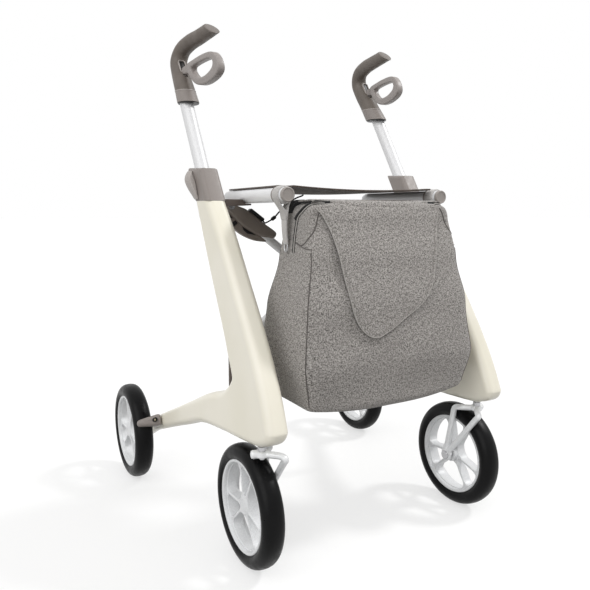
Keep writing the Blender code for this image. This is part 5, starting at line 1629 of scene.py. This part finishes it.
@dataclass
class ScissorBrace:
    """Crossed brace tubes with leaf-shaped upper ends, and the brackets they turn on."""

    front_y: float = -0.052
    rear_y: float = -0.028
    low_z: float = 0.322
    radius: float = 0.0085
    eye: float = 0.0085
    eye_length: float = 0.018
    leaf: float = 0.021
    fin: float = 0.012
    leaf_edge: float = 0.0045

    def line(self, side: int) -> tuple[Vector, Vector]:
        """Lower and upper pivot of the brace whose upper end is on a side."""
        x, z = PLAN.brace_pivot
        return Vector((-side * x, 0, self.low_z)), Vector((side * x, 0, z))

    def tube(self, side: int, y: float) -> Mesh:
        """Brace tube with its lower eye and a boss at the middle."""
        lower, upper = self.line(side)
        along, depth = (upper - lower).normalized(), Vector((0, y, 0))
        across, middle = Vector((0, self.eye_length / 2, 0)), (lower + upper) / 2 + depth
        tube = Shop.rod(lower + depth, upper - along * 0.06 + depth, self.radius, 48)
        eye = Shop.rod(lower + depth - across, lower + depth + across, self.eye + 0.0015, 48, 0.0012)
        boss = Shop.rod(middle - across * 0.98, middle + across * 0.98, 0.0072, 40, 0.0006)
        return Shop.merged(tube, eye, boss)

    def leaf_shape(self, side: int, points: Sequence[Flat]) -> list[Vector]:
        """Points (x, z) in space of places on a leaf, measured inwards and upwards from its pivot."""
        upper = self.line(side)[1]
        return [Vector((upper.x - side * x, upper.z + z)) for x, z in points]

    def leaf_bar(self, side: int, y: float) -> Mesh:
        """Thick rounded bar of a leaf, with its head round the pivot."""
        ends = (190, 65) if side < 0 else (-10, 115)
        upper = self.line(side)[1]
        outline = catmull(self.leaf_shape(side, BAR), 4) + arc((upper.x, upper.z), 0.0095, *ends, 12)
        return Shop.plate([outline], self.leaf, XZ_PLANE, self.leaf_edge, 5, -y)

    def leaf_fin(self, side: int, y: float) -> Mesh:
        """Thinner fin below a leaf's bar, with three pockets sunk in its front."""
        outline = catmull(self.leaf_shape(side, FIN), 4, closed=True)
        fin = Shop.plate([outline], self.fin, XZ_PLANE, 0.0022, 3, -y - 0.001)
        for pocket in POCKETS:
            fin = Shop.cut(fin, Shop.plate([self.leaf_shape(side, pocket)], self.fin, XZ_PLANE, 0, 0,
                                           -y + 0.007))
        return fin

    def leaf_ribs(self, side: int, y: float) -> Mesh:
        """Pale cords on the fin's rib edges, whose pale tone paints the highlight that the edges catch."""
        bars = [Shop.sweep([Vector((p.x, y - 0.005, p.y)) for p in self.leaf_shape(side, rib)], 0.0006, 3)
                for rib in RIBS]
        return Shop.merged(*bars)

    def leaf_pits(self, side: int, y: float) -> Mesh:
        """Black floors in the fin's pockets, which paint the shade in them."""
        return Shop.merged(*[Shop.plate([self.leaf_shape(side, pocket)], 0.0004, XZ_PLANE, 0, 0, -y + 0.0013)
                             for pocket in POCKETS])

    def build(self) -> None:
        """Hang tubes, leaves, bolts, brackets and pins."""
        for side, name, y in ((-1, "rear", self.rear_y), (1, "front", self.front_y)):
            rider = name + "_brace"
            Shop.add(rider + "_bar", self.tube(side, y), RAIL, rider, [rider + "_tube"], "silver_tube")
            leaf = Shop.merged(self.leaf_bar(side, y), self.leaf_fin(side, y))
            # The leaf is dark plastic, lightened as painted light.
            Shop.add(rider + "_leaf", leaf, LEAF_LIGHTENED, rider, [rider + "_end"], "dark_plastic", 30)
            # Pale rib cords: painted highlight on the rib edges.
            Shop.add(name + "_leaf_ribs", self.leaf_ribs(side, y), TAUPE, rider, [], "dark_plastic")
            # Black pocket floors: painted shade in the pockets.
            Shop.add(name + "_leaf_pits", self.leaf_pits(side, y), BLACK, rider, [], "dark_plastic")
        Shop.smooth_copy("brace_centre_bolt", STEEL, "front_brace", "steel", SOFT)
        Shop.smooth_pairs("frame", ("lower_bracket", DARK_TAUPE, "dark_plastic", 0.001),
                          ("lower_pivot_pin", STEEL, "steel", SOFT))


@dataclass
class FoldLatch:
    """Lock on the rear brace's leaf, with the cord that pulls it from the seat."""

    length: float = 0.036
    width: float = 0.013
    height: float = 0.008
    cord: float = 0.0015
    end_x: float = -0.0132
    y: float = -0.028

    def seat(self) -> tuple[Vector, Vector, Vector]:
        """Middle of the latch's place on the leaf's edge, the edge's direction and its normal."""
        upper = Vector((-PLAN.brace_pivot.x, PLAN.brace_pivot.y))
        before, start, end, after = (upper + Vector(point) for point in LEAF[1:5])
        along = (end - start).normalized()
        return (9 * (start + end) - before - after) / 16, along, Vector((-along.y, along.x))

    def point(self, forward: float, up: float) -> Vector:
        """Point of the latch in space, along the leaf's edge and away from it."""
        middle, along, normal = self.seat()
        spot = middle + along * forward + normal * up
        return Vector((spot.x, self.y, spot.y))

    def box(self) -> Mesh:
        """Lock body with soft edges, and its two pins."""
        along = self.seat()[1]
        turn = Matrix.Rotation(-math.atan2(along.y, along.x), 3, "Y")
        body = Shop.box((self.length * 0.97, self.width, self.height * 0.96),
                        self.point(0, GAP + self.height / 2), 0.0026, 4, turn)
        across = Vector((0, self.width / 2 + 0.0012, 0))
        pins = [Shop.rod(self.point(at, 0.0052) - across, self.point(at, 0.0052) + across, 0.0017, 20, 0.0004)
                for at in (-0.011, 0.01)]
        return Shop.merged(body, *pins)

    def route(self) -> list[Vector]:
        """The cord's way from the latch up to the seat's underside."""
        rail = PLAN.rail_x - PLAN.rail_radius
        dip = Seat.sag * clamp(1 - (self.end_x / rail) ** 2)
        under = PLAN.rail_height + PLAN.rail_radius + GAP - dip
        reach, middle = self.length / 2 + GAP, GAP + self.height / 2
        end = Vector((self.end_x, self.y, under - GAP))
        start = self.point(reach, middle)
        ways = [(self.end_x - x, self.y, under - z)
                for x, z in mm((65.7, 45.5), (53.7, 34), (38.4, 20), (17, 7.5), (3, 2.5))]
        knots = [start, self.point(reach + 0.006, middle - 0.0005), *ways, end]
        return catmull(knots, 6)

    def build(self) -> None:
        """Hang the latch, its cord and the slider on the cord."""
        Shop.add("lock_box", self.box(), BLACK, "fold_latch", ["fold_latch"], "black_plastic")
        route = self.route()
        cord = Shop.add("pull_cord", Shop.sweep(route, self.cord, 4), CORD, "left_rail", ["release_cord"],
                        "black_plastic")
        bead = Shop.lathe(mm((0, -5), (2.6, -5), (3.6, -3.6), (3.6, 3.6), (2.6, 5), (0, 5)), route[12],
                          route[13] - route[11], 32)
        slider = Shop.add("cord_slider", bead, BLACK, "left_rail", [], "black_plastic")
        length = sum((b - a).length for a, b in zip(route, route[1:]))
        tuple(route[0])
        for piece in (cord, slider):
            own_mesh(piece)


@dataclass
class Seat:
    """Woven sheet seat across the rails, with stitched hems and notched front corners."""

    front: float = -0.2195
    rear: float = -0.007
    thickness: float = 0.0035
    sag: float = 0.005
    over: float = 0.004
    ring_y: float = SeatRails.strap_y + SeatRails.strap_width / 2
    stitch: float = 0.003

    def height(self, x: float, y: float) -> float:
        """Height of the seat's underside, with faint ripples from rail to rail."""
        top = PLAN.rail_height + PLAN.rail_radius + GAP
        dip = self.sag * clamp(1 - (x / (PLAN.rail_x - PLAN.rail_radius)) ** 2)
        ripple = 0.0003 * math.sin(38 * y + 1.3) * clamp(1 - abs(x) / 0.15)
        return top - dip + ripple + 0.0005

    def cloth(self) -> Mesh:
        """The sheet, cut to its outline and sliced so that it can sag."""
        reach = PLAN.rail_x + self.over
        shoulder, notch = PLAN.rail_x - PLAN.rail_radius - 0.0034, self.ring_y + GAP
        corners = [(-reach, notch), (-shoulder, notch), (-shoulder, self.front), (shoulder, self.front),
                   (shoulder, notch), (reach, notch), (reach, self.rear), (-reach, self.rear)]
        sheet = Shop.plate([rounded(corners, 0.003, 3)], self.thickness * 0.8, Matrix.Identity(4), 0.0009, 2)
        sheet = Shop.gridded(Shop.gridded(sheet, 0, 0.009), 1, 0.012)
        sheet = Shop.mapped(sheet, lambda co: (co.x, co.y))
        half = self.thickness * 0.4
        return Shop.moved(sheet, lambda co: Vector((co.x, co.y, self.height(co.x, co.y) + half + co.z)))

    def row(self, start: Flat, end: Flat) -> Mesh:
        """Row of stitches on the seat's top between two places."""
        first, last = Vector(start), Vector(end)
        count = int((last - first).length / self.stitch)
        turn = Matrix.Rotation(math.atan2(last.y - first.y, last.x - first.x), 4, "Z")
        grain = turn @ Matrix.Diagonal((0.001, 0.00035, 0.0003, 1))
        form = bmesh.new()
        for i in range(count):
            spot = first.lerp(last, (i + 0.5) / count)
            z = self.height(spot.x, spot.y) + self.thickness * 0.8 + 0.0001
            bmesh.ops.create_icosphere(form, subdivisions=1, radius=1.0,
                                       matrix=Matrix.Translation((spot.x, spot.y, z)) @ grain)
        return Shop.mesh(form, turn_out=False)

    def build(self) -> None:
        """Hang the sheet and its stitching."""
        cloth = Shop.add("woven_seat", self.cloth(), SEAT_CLOTH, "left_rail", ["seat_sheet"], "seat_fabric",
                         50)
        wide, front, rear = PLAN.rail_x - 0.018, self.front + 0.0065, self.rear - 0.0065
        ends = [((-wide, y), (wide, y)) for y in (front, front + 0.0045, rear, rear - 0.0045)]
        ends += [((x, front), (x, rear)) for x in (-wide, wide)]
        rows = Shop.merged(*[self.row(*pair) for pair in ends])
        stitches = Shop.add("seat_stitches", rows, THREAD, "left_rail", [], "seat_fabric")
        for piece in (cloth, stitches):
            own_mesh(piece)


RINGS = ((0.0, 0.153, -0.291, -0.18), (0.04, 0.162, -0.299, -0.166), (0.22, 0.173, -0.306, -0.152),
         (0.49, 0.164, -0.298, -0.16), (0.71, 0.15, -0.285, -0.174), (0.92, 0.143, -0.268, -0.188),
         (1.0, 0.14, -0.26, -0.194))
FLAP = mm((-131, 1), (-122, 22), (-109, 50), (-100.5, 92), (-92, 137), (-81, 181), (-63, 207), (-42, 216),
          (-20, 210), (18.6, 189), (56, 167), (74.5, 147), (89, 118), (102, 66), (112, 26), (122, 1))


@dataclass
class Bag:
    """Soft bag under the seat: lofted body with rounded shoulders, gusset seams, zip and flap."""

    bottom: float = 0.259
    top: float = 0.588
    foot: float = 0.018
    shoulder: float = 0.026
    sharp: float = 15.0
    bulge: float = 0.0035
    cap: float = 0.16
    droop: float = 0.0065
    sag: float = 0.006
    flap: float = 0.003
    roll: float = 0.01
    bend: float = 0.0115
    hinge_z: float = 0.578
    keep: float = 0.055
    side: float = 0.15

    def share(self, z: float) -> float:
        """How far up the bag a height is, from 0 to 1."""
        return clamp((z - self.bottom) / (self.top - self.bottom))

    def section(self, z: float) -> tuple[float, float, float]:
        """Half width, middle y and half depth at a height, before the shoulders and foot round off."""
        share = self.share(z)
        low, high = next(pair for pair in zip(RINGS, RINGS[1:]) if share <= pair[1][0])
        t = (share - low[0]) / (high[0] - low[0])
        t = t * t * (3 - 2 * t) * 0.5 + t * 0.5
        half, front, rear = (a * (1 - t) + b * t for a, b in zip(low[1:], high[1:]))
        return half, (front + rear) / 2, (rear - front) / 2

    def swell(self, z: float) -> float:
        """How far front and rear bulge at a height."""
        return self.bulge * math.sin(math.pi * self.share(z))

    def skin(self, turn: float, rise: float) -> Vector:
        """Point of the bag's skin.

        Args:
            turn: share of the way round, from the rear middle.
            rise: from 0 at the bottom's middle over the sides to 1 at the top's middle.

        Returns:
            The point.
        """
        inset = 1 - math.sin(min(1.0, min(rise, 1 - rise) / self.cap) * math.pi / 2)
        level = clamp((rise - self.cap) / (1 - 2 * self.cap))
        foot, brow = self.foot, self.shoulder
        z = self.bottom + foot + level * (self.top - self.bottom - foot - brow)
        half, middle, deep = self.section(z)
        angle = 2 * math.pi * turn + math.pi / 2
        ray = Vector((math.cos(angle) * half, math.sin(angle) * deep)).normalized()
        reach = abs(ray.x / half) ** self.sharp + abs(ray.y / (deep + self.swell(z))) ** self.sharp
        flat = ray * reach ** (-1 / self.sharp)
        if inset > 0:
            height = foot if level == 0 else brow
            lean = math.acos(1 - inset)
            edge = 1 - min(1.0, height * (1 - math.cos(lean)) / max(0.02, flat.length))
            flat = flat * (edge * (1 - inset ** 4))
            z += height * math.sin(lean) * (1 if level == 1 else -1)
            if level == 0:
                z -= self.sag * clamp(1 - (flat.length / self.side) ** 2)
        low = max(0.0, 1 - (z - self.bottom) / 0.1)
        z -= self.droop * clamp(1 - (flat.x / self.side) ** 2) * low ** 1.5
        return Vector((flat.x, middle + flat.y, z))

    def body(self) -> Mesh:
        """Closed skin with sag, soft dents and a bottom that hangs."""
        def put(turn: float, rise: float) -> Vector:
            """One vertex, with its dents."""
            spot = self.skin(turn, rise)
            level = (spot.z - self.bottom) / (self.top - self.bottom)
            dent = (0.0012 * math.sin(21 * spot.x + 9 * level) * math.sin(7.5 * level + 2 * spot.x)
                    + 0.0008 * math.sin(46 * spot.x - 19 * level + 0.7))
            side = 0.0016 * math.sin(2 * math.pi * (1.4 * level + 2.1 * (spot.y + 0.3)))
            return spot + Vector((side if abs(spot.x) > 0.12 else 0.0, dent, 0))
        across, along = 216, 96
        girth = self.lengths([self.skin(i / across, 0.5) for i in range(across + 1)])
        climb = self.lengths([self.skin(0.5, i / along) for i in range(along + 1)])
        return Shop.wrapped(across, along, put,
                            lambda a, b: (girth[round(a * across)], climb[round(b * along)]))

    @staticmethod
    def lengths(run: Sequence[Vector]) -> list[float]:
        """Length of a run of points up to each of them."""
        return [0.0, *accumulate((after - before).length for before, after in zip(run, run[1:]))]

    def front_y(self, x: float, z: float) -> float:
        """The body's front face at a place, on which the flap lies."""
        half, middle, deep = self.section(z)
        share = min(0.97, abs(x) / half)
        return middle - (deep + self.swell(z)) * (1 - share ** self.sharp) ** (1 / self.sharp)

    def outline(self, inward: float) -> list[Vector]:
        """Flap's flat outline: x, and the run below (-) or above its upper bend.

        Args:
            inward: how far the outline is drawn in.

        Returns:
            The dense outline.
        """
        quarter = self.bend * math.pi / 2
        points = [(x, -max(0.0, down - self.bend + 0.001)) for x, down in FLAP]
        left, right = points[0], points[-1]
        run = catmull([(left[0] - 0.004, quarter + 0.034), (left[0] - 0.002, quarter), *points,
                       (right[0] + 0.002, quarter), (right[0] + 0.004, quarter + 0.034)], 5)
        centre = Vector((0.0, -0.06))
        return [p + (centre - p).normalized() * inward for p in run]

    def hang(self, co: Vector, lift: float) -> Vector:
        """Point of the flat flap in its hung place.

        Args:
            co: x, depth and run of the flat point.
            lift: how far the flap's middle lies off the body.

        Returns:
            The hung point.
        """
        off, run, quarter = -co.y, co.z, self.bend * math.pi / 2
        curl = 0.03 * (abs(co.x) / 0.13) ** 3
        if run <= 0:
            z = self.hinge_z + run
            y = min(self.front_y(co.x, z), self.front_y(0.0, z) + curl)
            flare = 0.0016 * math.sin(60 * co.x + 25 * run) * min(1.0, -run / 0.08)
            return Vector((co.x, y - lift - off - abs(flare) * 0.6, z))
        start = self.front_y(0.0, self.hinge_z) - lift + self.bend
        if run <= quarter:
            angle, reach = run / self.roll, self.roll + off
            return Vector((co.x, start + curl * 0.6 * (1 - angle) - reach * math.cos(angle),
                           self.hinge_z + reach * math.sin(angle)))
        back = run - quarter
        return Vector((co.x, start + back, self.hinge_z + self.bend + off - 0.05 * back))

    def flap_sheet(self, thickness: float, lift: float, inward: float) -> Mesh:
        """Flap cut to its outline, rolled over the bag's top and laid on the front.

        Args:
            thickness: of the sheet.
            lift: how far its middle lies off the body.
            inward: how far its outline is drawn in.

        Returns:
            The mesh.
        """
        sheet = Shop.plate([self.outline(inward)], thickness, XZ_PLANE, thickness * 0.42, 2)
        sheet = Shop.gridded(Shop.gridded(sheet, 2, 0.0055), 0, 0.008)
        sheet = Shop.mapped(sheet, lambda co: (co.x, co.z))
        return Shop.moved(sheet, lambda co: self.hang(co, lift))

    def edging(self, inward: float, lift: float, radius: float) -> Mesh:
        """Cord or stitch line along the flap's free edge."""
        run = [self.hang(Vector((p.x, 0, p.y)), lift) for p in self.outline(inward) if p.y < 0.002]
        return Shop.sweep(run, radius, 2)

    def line(self, tree: BVHTree, points: Sequence[Spot], radius: float, off: float = 0.0,
             steps: int = 8) -> Mesh:
        """Cord laid on the body's skin near some points.

        Args:
            tree: the skin.
            points: places near the skin.
            radius: the cord's radius.
            off: how far its middle stands off the skin.
            steps: new points per span.

        Returns:
            The mesh.
        """
        found = [tree.find_nearest(point) for point in catmull(points, steps)]
        return Shop.sweep([near + normal * off for near, normal, _, _ in found], radius, 3)

    def corner_seams(self, tree: BVHTree) -> Mesh:
        """Seams down the four corners, which are hung in a dark grey that paints the shade of their creases.
        """
        heights = [self.bottom + 0.012 + (self.top - self.bottom - 0.09) * i / 13 for i in range(14)]
        rings = [(*self.section(z), z) for z in heights]
        return Shop.merged(*[
            self.line(tree, [(sign * half, middle + end * deep, z) for half, middle, deep, z in rings],
                      0.0009, 0.0001, 3) for sign in (-1, 1) for end in (-1, 1)])

    def side_lines(self, tree: BVHTree, points: Sequence[Spot], radius: float, off: float = 0.0,
                   shift: float = 0.0) -> Mesh:
        """The same line on the right and the left shoulder, from points on the left."""
        sides = [[(sign * x, y + shift, z) for x, y, z in points] for sign in (1, -1)]
        return Shop.merged(*[self.line(tree, run, radius, off) for run in sides])

    def mouth(self) -> Mesh:
        """Black lining that stands up in the bag's open mouth beside the flap, both sides; its black also
        paints the shade inside the mouth.
        """
        arch = catmull(mm((-142.5, 569), (-141, 579), (-134, 587), (-122.8, 590.8), (-111.6, 589.2),
                          (-102.1, 586), (-92.4, 580)), 5)
        run = [*[(-p.x, p.y) for p in arch], (0.095, 0.566), (0.138, 0.564)]
        return Shop.merged(*[
            Shop.plate([[(sign * x, z) for x, z in run]], 0.022, XZ_PLANE, 0.0014, 3, 0.204)
            for sign in (-1, 1)])

    def build(self) -> None:
        """Hang body, seams, zip, lining and flap, with painted shade in the dark seams, creases and mouth
        strips.
        """
        skin = self.body()
        tree = BVHTree.FromPolygons([v.co for v in skin.vertices], [tuple(p.vertices) for p in skin.polygons])
        zip_run = mm((-112, -264, 586), (-129.4, -258, 582), (-142, -246, 572), (-149, -233, 560),
                     (-154, -228.1, 537.1), (-160, -228.1, 508))
        # Wide black strip along the crest between zip and flap: lining, and painted shade of the open mouth.
        crest = ((-0.1, -0.264, 0.587), *zip_run[:4])
        # Panel and fold runs follow soft creases; their dark lines are painted crease shade.
        panel = mm((-119, -270, 579), (-125.7, -272, 570), (-132.6, -274, 551), (-141, -274, 538.1),
                   (-153, -264, 526.9), (-156, -248, 520), (-156, -232, 524))
        fold = mm((-156, -235.3, 524), (-157, -261.9, 515.9), (-152, -286, 516.3))
        body = Shop.add("bag_shell", skin, BAG_CLOTH, "left_rail", ["bag_body"], "bag_fabric", 60)
        # Corner seams in dark grey: real seams, darkened as painted crease shade.
        trims = (("bag_seam_shade", self.corner_seams(tree), SEAM_SHADE),
                 ("bag_zip_teeth", self.side_lines(tree, zip_run, 0.0011, 0.0006), BINDING),
                 ("bag_zip_tape", Shop.merged(self.side_lines(tree, zip_run, 0.002, -0.0006, 0.0032),
                                              self.side_lines(tree, crest, 0.0042, -0.001, 0.0062),
                                              self.side_lines(tree, zip_run, 0.0007, 0.0, -0.002)), LINING),
                 ("bag_panel_crease_shade", Shop.merged(self.side_lines(tree, panel, 0.001),
                                                 self.side_lines(tree, fold, 0.0008)), SEAM_SHADE),
                 # Black mouth plates: lining, and painted shade inside the open mouth.
                 ("bag_mouth_lining_shade", self.mouth(), LINING))
        pieces = [body, *[Shop.add(name, mesh, finish, "left_rail", [], "bag_fabric", 50)
                          for name, mesh, finish in trims]]
        flap = Shop.add("front_flap", self.flap_sheet(self.flap * 0.8, 0.0026, 0.0), BAG_CLOTH, "bag_flap",
                        ["bag_flap"], "bag_fabric", 50)
        hung = [Shop.add(name, mesh, finish, "bag_flap", [], "bag_fabric", 50) for name, mesh, finish in (
            ("flap_lining", self.flap_sheet(0.0008, 0.0006, 0.0016), LINING),
            # Pale cord round the flap's free edge: painted highlight of the edge.
            ("flap_edge_highlight", self.edging(0.0003, 0.0034, 0.0007), BINDING),
            ("flap_stitching", self.edging(0.006, 0.0037, 0.0004), THREAD))]
        for piece in (*pieces, flap, *hung):
            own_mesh(piece)


@dataclass
class Studio:
    """Pale floor, plain soft light and the camera at the photograph's angle."""

    place: tuple[float, float, float] = (-0.6261, -1.077, 0.5683)
    tilt: float = math.pi / 2 - 0.132
    heading: float = -0.5156
    sensor: float = 36.0
    focal: float = 612.93 / 590 * sensor
    glow: float = 0.59
    surround: float = 0.64

    def camera(self) -> None:
        """Create the camera and make it the scene's."""
        data = bpy.data.cameras.new("view")
        data.sensor_width = self.sensor
        data.lens = self.focal
        data.clip_start = 0.01
        data.clip_end = 200
        camera = Shop.linked("view", data)
        camera.location = self.place
        camera.rotation_euler = (self.tilt, 0, self.heading)
        bpy.context.scene.camera = camera

    def floor(self) -> None:
        """Wide floor that shows white to the camera and keeps the shadow."""
        form = bmesh.new()
        bmesh.ops.create_grid(form, x_segments=1, y_segments=1, size=60.0)
        mesh = Shop.mesh(form, turn_out=False)
        board = Board(bpy.data.materials.new("studio_floor"))
        seen = board.seen()
        board.wire(Roughness=0.85, Specular_IOR_Level=0.1,
                   Base_Color=board.mix(seen, (0.3, 0.3, 0.298), (0.42, 0.42, 0.417)))
        glow = board.node("ShaderNodeEmission")
        glow.inputs["Color"].default_value = WHITE
        glow.inputs["Strength"].default_value = self.glow
        both = board.node("ShaderNodeAddShader")
        board.feed(both.inputs[0], board.shader.outputs[0])
        board.feed(both.inputs[1], glow.outputs[0])
        board.switch(seen, board.shader.outputs[0], both.outputs[0])
        mesh.materials.append(board.owner)
        Shop.linked("studio_floor", mesh)

    def world(self) -> None:
        """Soft even surround, white to the camera and to mirror rays."""
        bpy.context.scene.world = bpy.data.worlds.new("surround")
        board = Board(bpy.context.scene.world, "Background")
        board.wire(Color=WHITE, Strength=self.surround)
        plain = board.node("ShaderNodeBackground")
        plain.inputs["Color"].default_value = WHITE
        board.switch(board.seen(), board.shader.outputs[0], plain.outputs[0])

    def lamp(self, name: str, direction: Spot, strength: float, spread: float) -> None:
        """Sun lamp.

        Args:
            name: its name.
            direction: the way its light travels.
            strength: its power.
            spread: angle in degrees, which softens its shadow.
        """
        data = bpy.data.lights.new(name, "SUN")
        data.energy = strength
        data.angle = math.radians(spread)
        turn = Vector(direction).to_track_quat("-Z", "Y")
        Shop.linked(name, data).rotation_euler = turn.to_euler()

    def build(self) -> None:
        """Set camera, floor, surround and lamps."""
        self.camera()
        self.floor()
        self.world()
        self.lamp("key", (-0.85, 0.3, -1.0), 1.35, 8)
        self.lamp("fill", (0.78, 0.4, -0.62), 1.3, 60)
        bpy.context.scene.view_settings.view_transform = "Standard"


def main() -> None:
    """Build every sub-assembly in order."""
    logging.basicConfig(level=logging.INFO, format="%(message)s")
    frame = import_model()
    NODES.update(frame["nodes"])
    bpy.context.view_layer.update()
    for part in (Studio(), FoldLatch(), SideFrames(), Collars(), Handles(), Wheels(), CasterForks(),
                 BrakeShoes(), SeatRails(), ScissorBrace(), Seat(), Bag()):
        part.build()
        LOG.info("built %s", type(part).__name__)


if __name__ == "__main__":
    main()
